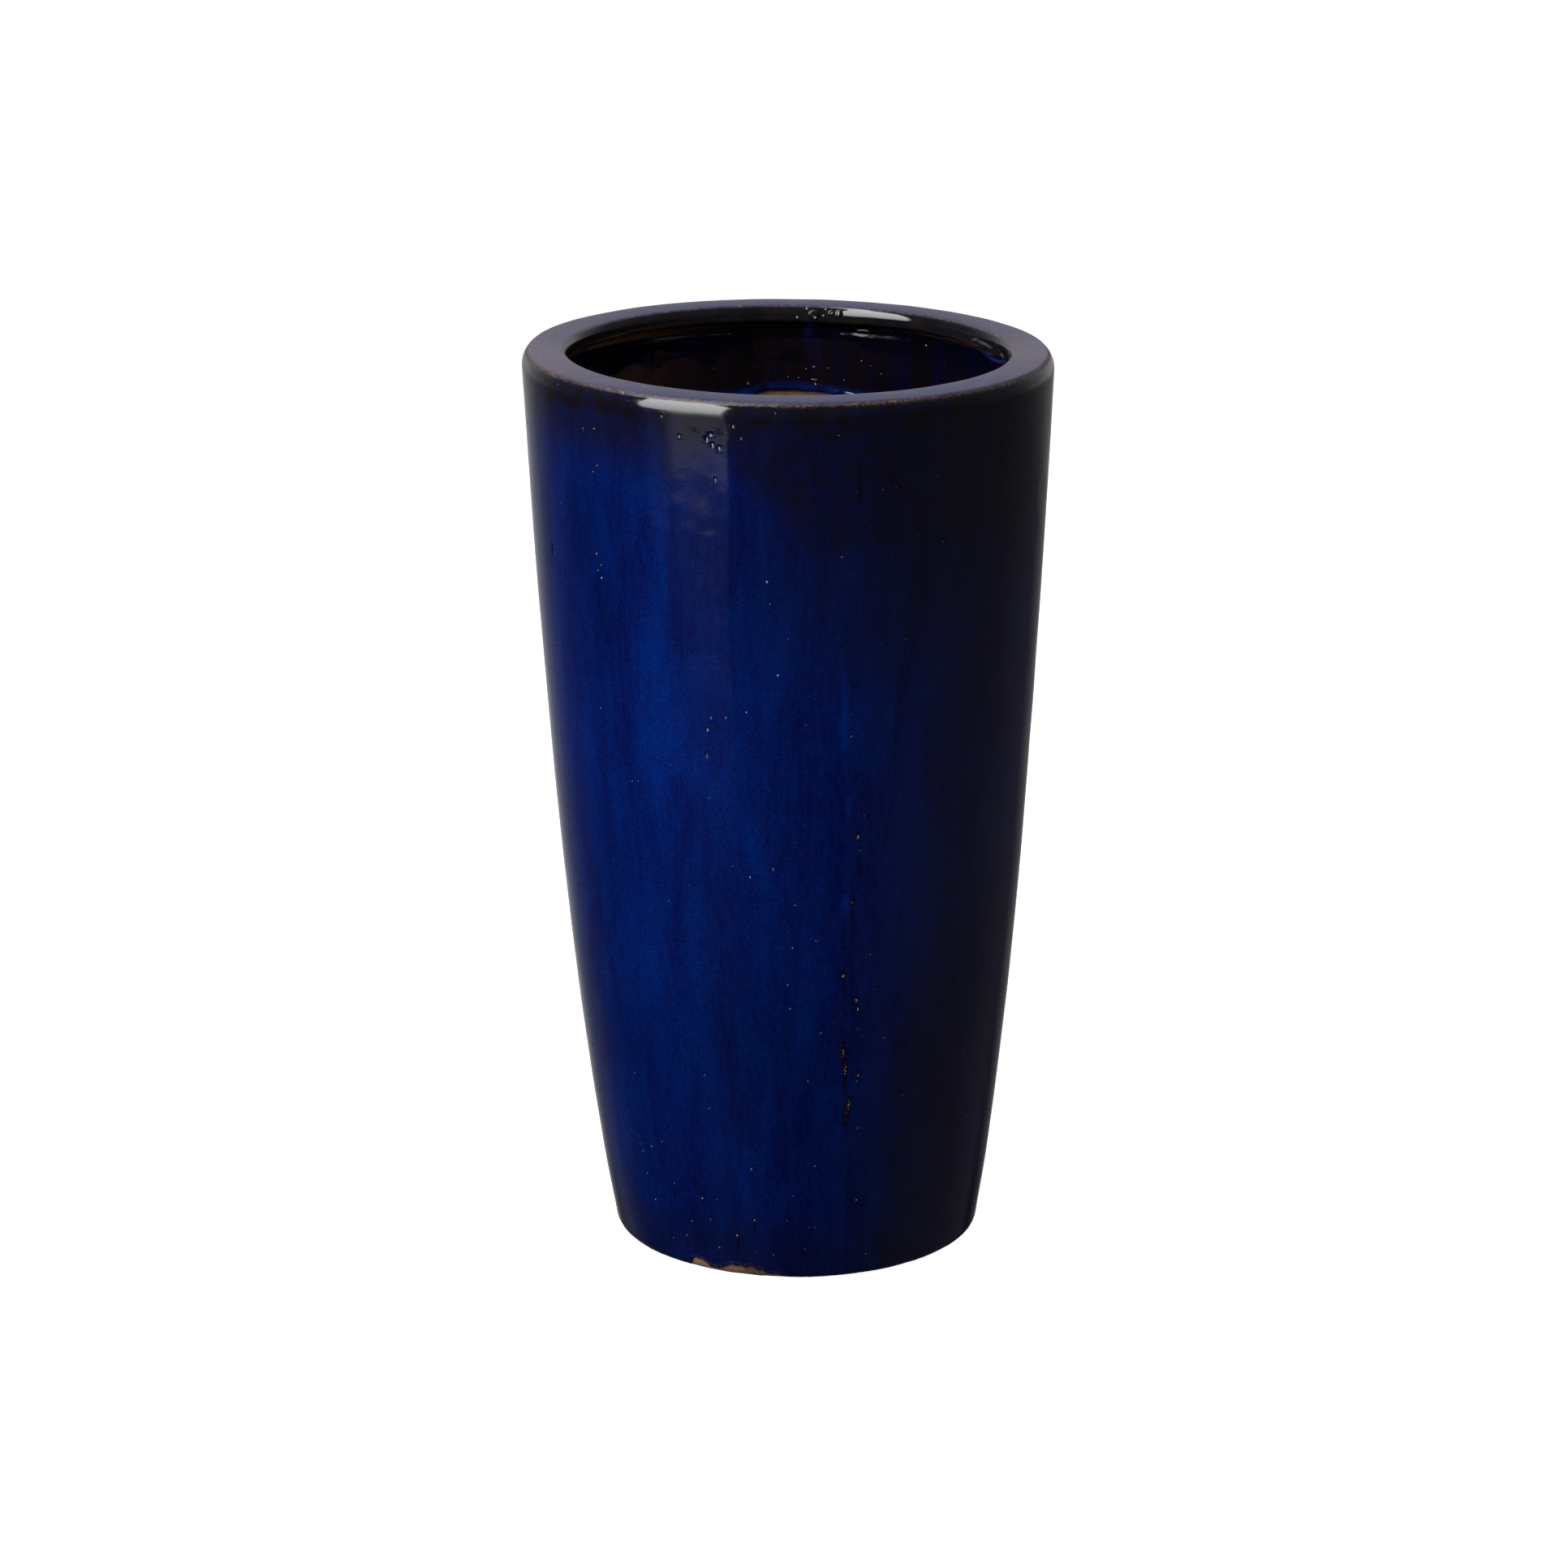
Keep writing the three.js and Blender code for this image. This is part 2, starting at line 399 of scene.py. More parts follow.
def make_mesh(name, xyz, corners, starts, material, masks, sharp):
    """A mesh object in metres from points in millimetres, its faces turned outwards."""
    ends = np.append(starts[1:], len(corners))
    first = xyz[corners[starts]]
    volume = 0.0
    for step in (1, 2):
        b, c = xyz[corners[starts + step]], xyz[corners[np.minimum(starts + step + 1, ends - 1)]]
        volume += np.einsum("ij,ij->i", first, np.cross(b, c)).sum()
    if volume < 0:
        order = np.arange(len(corners))
        face = np.searchsorted(starts, order, side="right") - 1
        corners = corners[starts[face] + ends[face] - 1 - order]
    mesh = bpy.data.meshes.new(name)
    mesh.vertices.add(len(xyz))
    mesh.vertices.foreach_set("co", (xyz * MM).astype(np.float32).ravel())
    mesh.loops.add(len(corners))
    mesh.loops.foreach_set("vertex_index", corners.astype(np.int32))
    mesh.polygons.add(len(starts))
    mesh.polygons.foreach_set("loop_start", starts.astype(np.int32))
    mesh.update(calc_edges=True)
    mesh.validate()
    mesh.shade_smooth()
    mesh.set_sharp_from_angle(angle=math.radians(sharp))
    for mask, values in masks.items():
        layer = mesh.attributes.new(mask, "FLOAT", "POINT")
        layer.data.foreach_set("value", values.astype(np.float32))
    mesh.materials.append(material)
    made = bpy.data.objects.new(name, mesh)
    bpy.context.scene.collection.objects.link(made)
    return made


def turned_points(r, z, azimuth, normal_r, normal_z, lift):
    """Points at a radius, height and azimuth, lifted along the outline's normal."""
    r = r + normal_r * lift
    z = z + normal_z * lift
    turn = np.radians(azimuth)
    return np.column_stack(out_of_true(r * np.sin(turn), -r * np.cos(turn), z))


def rows_by_spacing(start, end, spacing):
    """Lengths from start to end, as far apart as spacing(length) says."""
    fine = np.linspace(start, end, 4000)
    passed = np.concatenate([[0.0], np.cumsum(np.diff(fine) / spacing((fine[1:] + fine[:-1]) / 2))])
    count = max(int(round(passed[-1])), 1)
    return np.interp(np.linspace(0, passed[-1], count + 1), passed, fine)


# ---- marks in the glaze

# Each mark: azimuth, height, half width, half height, depth, bare clay shown, dark edge (painted shade in the
# hollow, and the dark of a streak).
SEAM_MARKS = (
    (0.5, 650, 0.9, 17, 0.25, 0, 0.8),
    (-1.9, 526, 0.9, 1.3, 0.6, 0.5, 0.6),
    (-0.9, 472, 0.9, 1.2, 0.6, 0.5, 0.5),
    (-0.8, 454, 0.9, 1.3, 0.6, 0.6, 0.5),
    (1, 373, 1.9, 3.6, 1, 1, 0.9),
    (1.6, 362, 1.1, 2.2, 0.6, 0.4, 0.9),
    (1.3, 349, 1, 11, 0.2, 0, 0.5),
    (0.1, 320, 2.1, 2.8, 1, 1, 1),
    (0.2, 305, 1.3, 12, 0.3, 0.1, 0.6),
    (-1.5, 283, 1.9, 1.2, 0.7, 0.9, 0.5),
    (-2, 260.5, 2, 3.4, 1, 1, 0.9),
    (-1.6, 249, 1.1, 7, 0.25, 0, 0.7),
    (1.4, 238.5, 1.6, 4.2, 1, 1, 0.9),
    (1.9, 232, 1, 3, 0.6, 0.6, 0.9),
    (-1.8, 204.5, 2.4, 1.5, 1, 0.2, 1),
    (-1.7, 196, 2.2, 6.5, 0.7, 0.45, 1),
    (-1.1, 182, 2.1, 10, 0.6, 0.55, 1),
    (-1, 168, 1.7, 8, 0.4, 0.35, 0.9),
    (0.1, 152, 1.7, 7, 1, 0.9, 1),
    (-0.6, 143, 2.6, 11, 0.5, 0.35, 0.9),
    (2.4, 176, 1, 3.2, 0.5, 0.6, 0.7),
    (2, 171, 0.9, 1, 0.6, 0.9, 0.4),
)
PIT_MARKS = (
    (-79.1, 573, 1.5, 4.2, 1, 0.9, 0.6),
    (-31.6, 682.6, 1.3, 1.6, 1, 0.9, 0.8),
    (-30.8, 686, 1.5, 1.2, 0.9, 0.9, 0.8),
    (-30.4, 678.2, 1.2, 1.5, 1, 0.9, 0.8),
    (-29, 676.2, 1.1, 1.5, 1, 0.9, 0.8),
    (-37.6, 683, 0.8, 1, 0.7, 0.6, 0.4),
    (-41.5, 696.5, 0.8, 1.1, 0.6, 0.6, 0.2),
    (-26, 693, 0.9, 0.9, 0.6, 0.8, 0.4),
    (-24.4, 684.5, 0.8, 1.1, 0.6, 0.6, 0.4),
    (-19.4, 576, 0.9, 1.3, 0.7, 0.9, 0.4),
    (-59.8, 574, 0.8, 1.3, 0.6, 0.7, 0.6),
    (-59.9, 563.8, 0.9, 1.5, 0.7, 0.8, 0.6),
    (-33.8, 438, 1.2, 1.6, 0.8, 0.9, 0.6),
    (5.5, 644, 0.8, 0.9, 0.6, 0.9, 0.2),
    (-52.4, 408, 0.6, 0.8, 0.4, 0.6, 0.2),
    (-26.8, 52, 1.1, 1.5, 0.8, 0.9, 0.6),
    (-26.6, 44, 0.6, 7, 0.25, 0, 0.9),
    (-32.5, 37, 1, 1.4, 0.8, 0.9, 0.6),
    (-32.3, 29, 0.6, 6, 0.25, 0, 0.9),
    (-54.9, 106.9, 0.8, 0.9, 0.5, 0.7, 0.3),
    (-52.1, 72.7, 0.8, 1, 0.5, 0.8, 0.4),
    (-52, 65, 0.6, 6, 0.2, 0, 0.8),
    (-40.6, 47.9, 0.9, 1.2, 0.6, 0.9, 0.4),
    (-49.6, 22, 0.6, 4.5, 0.2, 0, 0.8),
    (-9.1, 100.5, 0.7, 0.9, 0.5, 0.8, 0.3),
    (-38.5, 23.7, 0.9, 1.1, 0.5, 0.9, 0.3),
    (25.1, 73, 0.7, 6, 0.2, 0, 0.6),
    (17.3, 603, 1.2, 1.6, 0.5, 0.6, 0.8),
    (20.5, 599, 1.6, 2.2, 0.5, 0.5, 0.8),
    (14, 607, 0.8, 1, 0.5, 0.5, 0.4),
)
# Pits alike, as half width, half height, depth, bare clay shown, dark edge (painted shade in the hollow):
# places.
PIT_GROUPS = {
    (0.7, 1, 0.5, 0.7, 0.3): ((-18.8, 559), (-21.5, 22.1)),
    (0.8, 1, 0.5, 0.8, 0.3): (
        (-32.5, 468), (-24.4, 474), (-64.5, 104.1), (-63.5, 92.3), (-63, 73.2), (-55.3, 22.1),
        (-72.3, 12.4), (-9, 46.5), (3.1, 68.2), (2.6, 130.7), (7, 18.8), (-14.6, 285.3), (-15.9, 254.8),
        (-15.4, 235), (2, 215.5), (-10.9, 173.7), (15.6, 153.4),
    ),
    (0.7, 0.9, 0.5, 0.7, 0.3): (
        (-29.1, 469), (-17.2, 53.2), (4.7, 276.4), (6, 246.9), (3.3, 209), (-4.1, 222),
    ),
    (0.9, 1.1, 0.6, 0.8, 0.4): ((-33.4, 458), (-42.6, 65.4), (-47.1, 42.7), (-49.7, 28.3)),
    (0.9, 1.2, 0.6, 0.8, 0.4): ((-54.3, 407), (-60.9, 52)),
    (0.9, 1, 0.5, 0.8, 0.3): ((-64.4, 97.2), (-59.4, 99.2)),
    (0.8, 0.9, 0.5, 0.8, 0.3): ((2.6, 390.2), (9.5, 205)),
}
# Blue flecks, as azimuth, height, half width, half height and depth.
BLUE_FLECKS = ((12.4, 515, 0.5, 4, 0.15), (-19.8, 321, 0.8, 1.2, 0.1))
# A fine crack from the right side down to the foot, as azimuths at heights.
CRACK_HEIGHTS = (15, 18.9, 21.4, 23.3, 24.6, 47.8, 80.2, 94.3, 102)
CRACK_AZIMUTHS = (8, 14.2, 22.2, 32.3, 40.4, 42.9, 43.8, 45.9, 46.6)

# Places where the surface leans back a little: azimuth, height, half width, half height, degrees.
SHEEN_PATCHES = (
    (-30.9, 611, 7, 8, 0.75),
    (-39.2, 624, 5.5, 4.5, 0.6),
    (-29.9, 566, 5, 5, 1.1),
    (-31.6, 555, 6, 4, 1.1),
    (-29, 543.5, 6, 4, 1.2),
    (-30.2, 655, 8, 3.5, 0.5),
    (-104, 640, 14, 18, 0.9),
    (-78, 560, 10, 14, 0.9),
    (60, 600, 12, 20, 1),
    (140, 520, 14, 22, 1),
)
# Bluer places along the front seam: azimuth, height, half width, half height.
SEAM_GLOWS = ((-1.6, 320, 3.2, 8), (-2.4, 470, 2.4, 26), (-1.2, 396, 1.8, 10))
SCATTERED = 170


def scattered_marks():
    """Small pits all round, more of them near the rim and the foot."""
    chooser = np.random.default_rng(41)
    marks = []
    while len(marks) < SCATTERED:
        azimuth = chooser.uniform(-180, 180)
        z = chooser.uniform(14, 700)
        keep = chooser.random()
        size = chooser.uniform(0.45, 0.95) * (1.35 if chooser.random() < 0.12 else 1.0)
        tall = chooser.uniform(1.0, 1.7)
        bare, dark = chooser.uniform(0.2, 0.8), chooser.uniform(0.2, 0.8)
        crowd = 0.45 + 0.55 * float(ease((z - 600) / 80)) + 0.3 * float(ease((110 - z) / 80))
        if keep > crowd or (z > 120 and abs(azimuth) < 3):
            continue
        marks.append((azimuth, z, size, size * tall, 0.35 + 0.5 * size, bare, dark))
    return marks


def seam_voids():
    """The voids of the back seam, like those of the front one but in other places."""
    chooser = np.random.default_rng(7)
    marks = []
    for z in (118, 149, 171, 214, 232, 298, 341, 366, 447, 463, 538, 611, 652):
        half = chooser.uniform(0.8, 1.5)
        tall = half * chooser.uniform(1.3, 4.5)
        azimuth = 180.0 + chooser.uniform(-1.8, 1.8)
        marks.append((azimuth, float(z), half, tall, 0.85, chooser.uniform(0.5, 1), 0.8))
    return marks


GROUPED_MARKS = [(*place, *shape) for shape, places in PIT_GROUPS.items() for place in places]
DARK_MARKS = (*SEAM_MARKS, *PIT_MARKS, *GROUPED_MARKS, *scattered_marks(), *seam_voids())
# The same rows with the blue glow last.
OUTER_MARKS = [(*mark, 0.0) for mark in DARK_MARKS] + [(*mark, 0.0, 0.0, 1.0) for mark in BLUE_FLECKS]


# ---- the glaze coat

# Cells round the coat, how far a mark inside is worked out, and how far its moved edges are felt.
COLUMNS = 448
MARK_REACH = 2.4
EDGE_REACH = 46
SEAM_AZIMUTHS = (0.0, 180.0)
CHIP_FROM, CHIP_TO = -51, -19


def foot_shift(azimuth):
    """How far the coat's lower edge is drawn up, in millimetres along the wall."""
    ragged = ring_waves(azimuth, 9, 21, 4, 0.6)
    fine = ring_waves(azimuth, 55, 23, 2)
    rise = ease((azimuth + 50.0) / 1.5)
    first = rise * (1 - ease((azimuth + 45.5) / 3.5))
    strip = rise * (1 - ease((azimuth + 22.0) / 6.0))
    second = ease((azimuth + 39.5) / 3.0) * (1 - ease((azimuth + 29.0) / 7.0))
    chip = 5.4 * first + 3.4 * strip + (5.4 + 1.8 * fine) * second
    other = 6.5 * bell(turn_between(azimuth, 131) / 5.0) + 4.0 * bell(turn_between(azimuth, -128) / 3)
    return chip + other + 1.0 * ragged + 0.6 * fine


def inside_shift(azimuth):
    """How far the coat runs on below its mean lower edge inside, in millimetres."""
    slow = ring_waves(azimuth, 2.6, 31, 2)
    runs = ring_waves(azimuth, 16, 33, 3, 0.6)
    far = ease(1.5 * bell(turn_between(azimuth, 164.5) / 10.0))
    reach = np.maximum(6.5 + 4.0 * slow + 3.0 * runs, 4.6)
    reach = reach * (1 - far) + (1.3 + 0.9 * runs) * far
    coil = ease(bell(turn_between(azimuth, 0) / 9.0) * 1.6)
    reach = reach * (1 - coil) + (-4.0 + runs) * coil
    return np.clip(reach, -7.0, 15.0)


def coat_rows():
    """Rows round the coat's section as pairs: length along the outline, depth under the face."""

    def spacing(s):
        lip = 1.15 + 2.0 * ease((np.abs(s - (S_CORNER + S_SHOULDER) / 2) - 14) / 25)
        mouth = 0.85 + 2.4 * ease((np.abs(s - (S_FACE + S_LEDGE) / 2 - 3) - 15) / 22)
        ends = 0.4 + 2.8 * ease((np.minimum(s - S_FOOT, S_END - s) - 2) / 14)
        return np.minimum(np.minimum(lip, mouth), ends)

    front = rows_by_spacing(S_FOOT, S_END, spacing)
    turn = np.radians([30, 60, 90, 120, 150])
    over_s, over_d = GLAZE / 2 * np.sin(turn), GLAZE / 2 * (1 - np.cos(turn))

    def back_spacing(s):
        return 2.2 + 12.0 * ease((np.abs(s - S_TOP) - 40) / 60)

    back = rows_by_spacing(S_FOOT, S_END, back_spacing)[::-1]
    s = np.concatenate([front, S_END + over_s, back, S_FOOT - over_s])
    depth = np.concatenate([0 * front, over_d, 0 * back + GLAZE, GLAZE - over_d])
    return s, depth, len(front)


def cell_levels(row_s, front_rows):
    """How fine each cell of the coat is, from the marks that fall on it."""
    rows = len(row_s)
    levels = np.zeros((rows, COLUMNS), int)
    centre_s = (row_s + np.roll(row_s, -1)) / 2
    azimuths = (np.arange(COLUMNS) + 0.5) * 360.0 / COLUMNS - 180.0
    heights = np.interp(centre_s, OUTLINE.s, OUTLINE.z)
    radii = np.interp(centre_s, OUTLINE.s, OUTLINE.r)
    on_front = np.arange(rows) < front_rows - 1
    outside = on_front & (centre_s < S_CORNER)

    def raise_to(level, cells_v, azimuth, wide, tall, height):
        across = np.abs(turn_between(azimuths, azimuth))[None, :] * np.radians(1) * radii[:, None]
        near = (across < wide + 1.2) & (np.abs(heights - height) < tall + 1.2)[:, None]
        near &= cells_v[:, None]
        levels[near] = np.maximum(levels[near], level)

    for azimuth, z, half, tall, depth, *_ in OUTER_MARKS:
        small = half < 1.05 and not (depth < 0.3 and half < 1.0)
        raise_to(3 if small else 2, outside, azimuth, half, tall, z)
    for seam in SEAM_AZIMUTHS:
        raise_to(1, outside, seam, 5.0, 340.0, 350.0)
    for azimuth, z in zip(CRACK_AZIMUTHS, CRACK_HEIGHTS):
        raise_to(2, outside, azimuth, 13.0, 8.0, z)
    raise_to(2, outside, 43.0, 5.0, 34.0, 62.0)
    for azimuth, z, half, tall, *_ in LIP_MARKS:
        raise_to(2, on_front & ~outside, azimuth, half + 1, tall + 1, z)
    for azimuth, z, half, tall, *_ in INNER_MARKS:
        raise_to(3, on_front & (centre_s > S_INSIDE), azimuth, half, tall, z)
    chip = (azimuths > CHIP_FROM) & (azimuths < CHIP_TO)
    foot = on_front & (centre_s < S_FOOT + 9)
    levels[np.ix_(foot, chip)] = 2
    shoulder = on_front & (centre_s > S_SHOULDER + 6) & (centre_s < S_CORNER + 3)
    front_arc = (azimuths > -85) & (azimuths < 60)
    part = np.ix_(shoulder, front_arc)
    levels[part] = np.maximum(levels[part], 1)
    return levels


# Blisters and drips round the mouth: azimuth, height, half width, half height, lift, burst open.
LIP_MARKS = (
    (158.4, 703.4, 3.6, 3.6, 2.2, 0.4),
    (155.6, 701.6, 1.3, 2.6, 1.2, 0.3),
    (153.6, 706, 1.7, 1.6, 1.3, 0.5),
    (154.9, 708.6, 1.1, 1, 0.9, 0.2),
    (160, 708.4, 1.4, 1.1, 0.9, 0.3),
    (151.4, 704.8, 2.4, 3.6, 0.9, 0),
    (162.6, 700.2, 2, 2.2, 0.8, 0),
    (146, 689.5, 6.5, 1.7, 0.5, 0),
    (137.6, 692, 1.3, 1.6, 0.6, 0.2),
    (101, 694, 26, 9, 2, -1),
    (86, 694.5, 9, 6, 1.3, -1),
    (92.2, 704, 1.2, 1.4, 0.9, 0.5),
    (89.9, 700.5, 1, 1.2, 0.8, 0.4),
    (-118, 691.5, 6, 6, 1.2, -1),
    (60, 692.5, 9, 6.5, 1.3, -1),
    (-22, 703, 1.5, 1.8, 1, 0.5),
    (-67, 701, 1.2, 1.6, 0.9, 0.4),
)

# Craters in the glaze inside: azimuth, height, half width, half height, depth, bare clay shown.
INNER_MARKS = (
    (185, 658.8, 1.4, 1.6, 0.8, 0.5),
    (181.3, 654.7, 1.2, 2, 0.7, 0.5),
    (180, 651.2, 1.1, 2.4, 0.7, 0.5),
    (176, 645.6, 2, 1.8, 1, 1),
    (167.3, 660.6, 1, 1.4, 0.7, 0.5),
    (165.6, 651, 0.9, 1, 0.6, 0.9),
    (162.9, 650.1, 1, 0.9, 0.7, 0.9),
    (161, 657.4, 1.1, 1.2, 0.7, 0.5),
    (159, 659.5, 1.4, 1.1, 0.8, 0.9),
    (158.9, 648.9, 4.4, 1.1, 0.8, 0.9),
    (158.6, 645.6, 1, 1.2, 0.8, 0.9),
    (151, 649.9, 0.9, 1, 0.7, 0.8),
    (142, 656.4, 1, 1.3, 0.7, 0.7),
    (140.8, 656.9, 0.9, 1.2, 0.7, 0.8),
    (146.3, 666.6, 1, 1, 0.6, 0.4),
    (165.1, 677.1, 1, 1, 0.6, 0.5),
    (127.7, 684.7, 1, 1.2, 0.7, 0.5),
    (155.3, 659.2, 0.8, 0.9, 0.6, 0.5),
    (203.6, 674.3, 1, 1.1, 0.6, 0.5),
    (118, 668, 0.9, 1.2, 0.6, 0.5),
    (100, 655, 1, 1.4, 0.7, 0.6),
    (75, 662, 1.2, 1.2, 0.7, 0.6),
    (40, 671, 1, 1.5, 0.7, 0.6),
    (12, 659, 1.1, 1.2, 0.7, 0.6),
    (-20, 676, 0.9, 1.2, 0.7, 0.6),
    (-48, 655, 1.2, 1.4, 0.8, 0.7),
    (-80, 665, 1, 1.2, 0.7, 0.6),
    (-110, 672, 1, 1.3, 0.7, 0.6),
    (-134, 658, 1.1, 1.2, 0.7, 0.6),
)


def ledge_wave(azimuth):
    """How the ledge under the lip rises and falls, in millimetres."""
    slow = 1.5 * ring_waves(azimuth, 3.2, 51, 3, 0.6)
    return slow + 0.5 * ring_waves(azimuth, 13, 53, level=0.5)


def from_mark(azimuth, z, r, at, height, half, tall):
    """How far across and along points are from a mark, as shares of its half sizes."""
    return np.radians(turn_between(azimuth, at)) * r / half, (z - height) / tall


def build_coat(material):
    row_s, row_depth, front_rows = coat_rows()
    levels = cell_levels(row_s, front_rows)
    u, v, corners, starts = lattice(levels, wrap_u=True)
    azimuth = u * 360.0 / COLUMNS - 180.0
    table = np.arange(len(row_s) + 1)
    base_s = np.interp(v, table, np.append(row_s, row_s[0]))
    depth = np.interp(v, table, np.append(row_depth, row_depth[0]))
    front = (v <= front_rows - 1) | (depth < 1e-6)

    fall_foot = 1 - ease((base_s - S_FOOT) / EDGE_REACH)
    fall_end = 1 - ease((S_END - base_s) / EDGE_REACH)
    s = base_s + foot_shift(azimuth) * fall_foot + inside_shift(azimuth) * fall_end
    r, z, nr, nz = OUTLINE.at(s)
    turn = np.radians(azimuth)
    x, y = r * np.sin(turn), -r * np.cos(turn)
    z_true = z.copy()
    z = z + ledge_wave(azimuth) * bell((s - S_LEDGE) / 9.0)
    place = np.array([x, y, z])

    outside = base_s < S_TOP
    face = np.where(front, 1.0, 0.0)
    wall = face * outside
    lift = np.zeros_like(s)
    # Slow unevenness, orange peel, and low level ripples that break up the reflections.
    lift += face * 0.15 * waves(place, 27, 40, 61)
    lift += face * 0.032 * waves(place, 9, 9, 62)
    lift += wall * 0.034 * waves(place, 21, 13, 63, 3, 0.42)
    lift += wall * 0.030 * waves(place, 8, 6, 67, 2) * ease((z_true - 610) / 60)
    rag = 0.45 * waves(place, 7, 5, 66, 3, 0.65)
    for at, height, half, tall, tilt in SHEEN_PATCHES:
        across, along = from_mark(azimuth, z_true, r, at, height, half, tall)
        q = np.hypot(across, along) + rag
        lift -= wall * math.radians(tilt) * tall * along * np.clip(1.25 - q, 0, 1) ** 0.7
    around = face * ~outside * (s > S_FACE)
    lift += around * 0.16 * waves(place, 22, 16, 65)
    # The rolled lower edges.
    lift += face * 0.30 * bell((base_s - S_FOOT - 1.4) / 1.2)
    lift += face * 0.45 * bell((S_END - base_s - 1.8) / 1.6)

    bare, dark, glow = np.zeros_like(s), np.zeros_like(s), np.zeros_like(s)
    for at, height, half, tall, deep, shows, edge, blue in OUTER_MARKS:
        near = np.nonzero(
            (np.abs(z_true - height) < 3 * tall + 3)
            & (np.abs(turn_between(azimuth, at)) < (3 * half + 3) * 0.42)
            & (wall > 0)
        )[0]
        if not len(near):
            continue
        away = from_mark(azimuth[near], z_true[near], r[near], at, height, half, tall)
        rough = 0.22 * waves(place[:, near], 0.9, 0.9, 71)
        q = np.hypot(*away) * (1 + rough)
        lift[near] -= 0.6 * deep * np.clip(1 - (q / 1.8) ** 2, 0, 1) ** 2
        lift[near] -= 0.4 * deep * np.clip(1 - (q / 0.75) ** 2, 0, 1)
        lift[near] += 0.06 * min(deep, 0.8) * bell((q - 2.1) / 0.4)
        grit = 0.5 + 0.9 * waves(place[:, near], 0.8, 0.8, 74)
        core = 1 - ease((q - 0.35) / 0.4)
        bare[near] = np.maximum(bare[near], 0.8 * shows * core * np.clip(grit + (half < 1.2), 0, 1))
        # Painted shade fills the pit's hollow and darkens the streaks.
        dark[near] = np.maximum(dark[near], edge * (1 - ease((q - 0.7) / 0.7)))
        glow[near] = np.maximum(glow[near], blue * (1 - ease((q - 0.6) / 0.6)))
    for at, height, half, tall in SEAM_GLOWS:
        away = from_mark(azimuth, z_true, r, at, height, half, tall)
        glow = np.maximum(glow, 0.8 * wall * bell(np.hypot(*away)))

    # The seams show as a faint groove with a fold of glaze beside it; painted shade darkens the groove.
    for at, seed in zip(SEAM_AZIMUTHS, (81, 82)):
        wander = 2.2 * noise(z / 70, 0.0, 0.5, seed) + 0.5 * noise(z / 9, 0.0, 0.5, seed + 5)
        across = np.radians(turn_between(azimuth, at)) * r - wander
        strength = wall * (0.55 + 0.45 * noise(z / 28, 2.5, 0.5, seed + 9))
        lift -= strength * 0.16 * bell(across / 1.3)
        lift += strength * 0.07 * bell((across - 3.0) / 1.8)
        dark = np.maximum(dark, 0.30 * strength * bell(across / 1.4))
        glow = np.maximum(glow, 0.20 * strength * bell((across + 2.4) / 1.8) * ease((500 - z) / 60))

    # The crack is steep above and runs nearly level near the foot.
    along_crack = np.interp(z_true, CRACK_HEIGHTS, CRACK_AZIMUTHS)
    across = np.radians(azimuth - along_crack) * r + 0.9 * waves(place, 5, 5, 83)
    crack = bell(across / 0.8) * ease((z_true - 24) / 3) * (1 - ease((z_true - 92) / 10))
    crack_height = np.interp(azimuth, CRACK_AZIMUTHS, CRACK_HEIGHTS)
    up = z_true - crack_height + 0.9 * waves(place, 5, 5, 84)
    level = bell(up / 0.8) * ease((azimuth - 9) / 8) * (1 - ease((azimuth - 39.5) / 1.5))
    crack = np.maximum(crack, level) * wall
    lift -= 0.14 * crack
    # The crack's dark line is partly painted shade in its groove.
    dark = np.maximum(dark, 0.8 * crack)

    inner = ~outside & front
    for at, height, half, tall, rise, burst in LIP_MARKS:
        across, along = from_mark(azimuth, z_true, r, at, height, half, tall)
        q = np.hypot(across, along)
        near = inner & (q < MARK_REACH)
        q, along = q[near], along[near]
        if burst < 0:
            edge = 0.16 * noise(across[near] * 2.3, along * 2.3, 0.4, 72)
            lift[near] += rise * ease((1.04 - q + edge) / 0.22)
            low = bell((q - 0.86 + edge) / 0.16) * ease(-along * 1.5 - 0.2)
            glow[near] = np.maximum(glow[near], 0.9 * low)
        else:
            dome = np.clip(1 - q * q, 0, 1) ** 0.55
            lift[near] += rise * ((1 - burst) * dome + burst * bell((q - 0.78) / 0.24))
            lift[near] -= 0.6 * burst * (1 - ease((q - 0.1) / 0.5))
            # Painted shade in the burst crater.
            dark[near] = np.maximum(dark[near], burst * (1 - ease((q - 0.3) / 0.4)))
            bare[near] = np.maximum(bare[near], 0.5 * burst * (1 - ease((q - 0.1) / 0.35)))
    for at, height, half, tall, deep, shows in INNER_MARKS:
        q = np.hypot(*from_mark(azimuth, z_true, r, at, height, half, tall))
        near = inner & (q < MARK_REACH)
        q = q[near] * (1 + 0.25 * waves(place[:, near], 0.9, 0.9, 73))
        lift[near] -= 0.45 * deep * np.clip(1 - (q / 1.4) ** 2, 0, 1) ** 2
        bare[near] = np.maximum(bare[near], 0.4 * shows * (1 - ease((q - 0.35) / 0.35)))
        # Painted shade on the inner slope of the crater.
        dark[near] = np.maximum(dark[near], 0.8 * bell((q - 0.8) / 0.45))
    run = bell(np.radians(turn_between(azimuth, 160.3)) * r / 2.6) * inner
    glow = np.maximum(glow, 0.22 * run * bell((z_true - 690) / 8))

    # Where the glaze is thin it shows brown: at the corners of the lip and along its lower edges.
    specks = waves(place, 2.6, 2.6, 91, 3, 0.7)
    corner = bell((s - S_CORNER + 1.0) / 1.7)
    mouth = bell((s - S_FACE + 1.2) / 1.1)
    thin = face * np.clip(np.maximum(corner, 0.9 * mouth) * (0.70 + 1.3 * specks), 0, 1)
    thin = np.maximum(thin, face * bell((base_s - S_FOOT) / 1.6) * (0.4 + 0.6 * specks))
    thin = np.clip(thin, 0, 1)
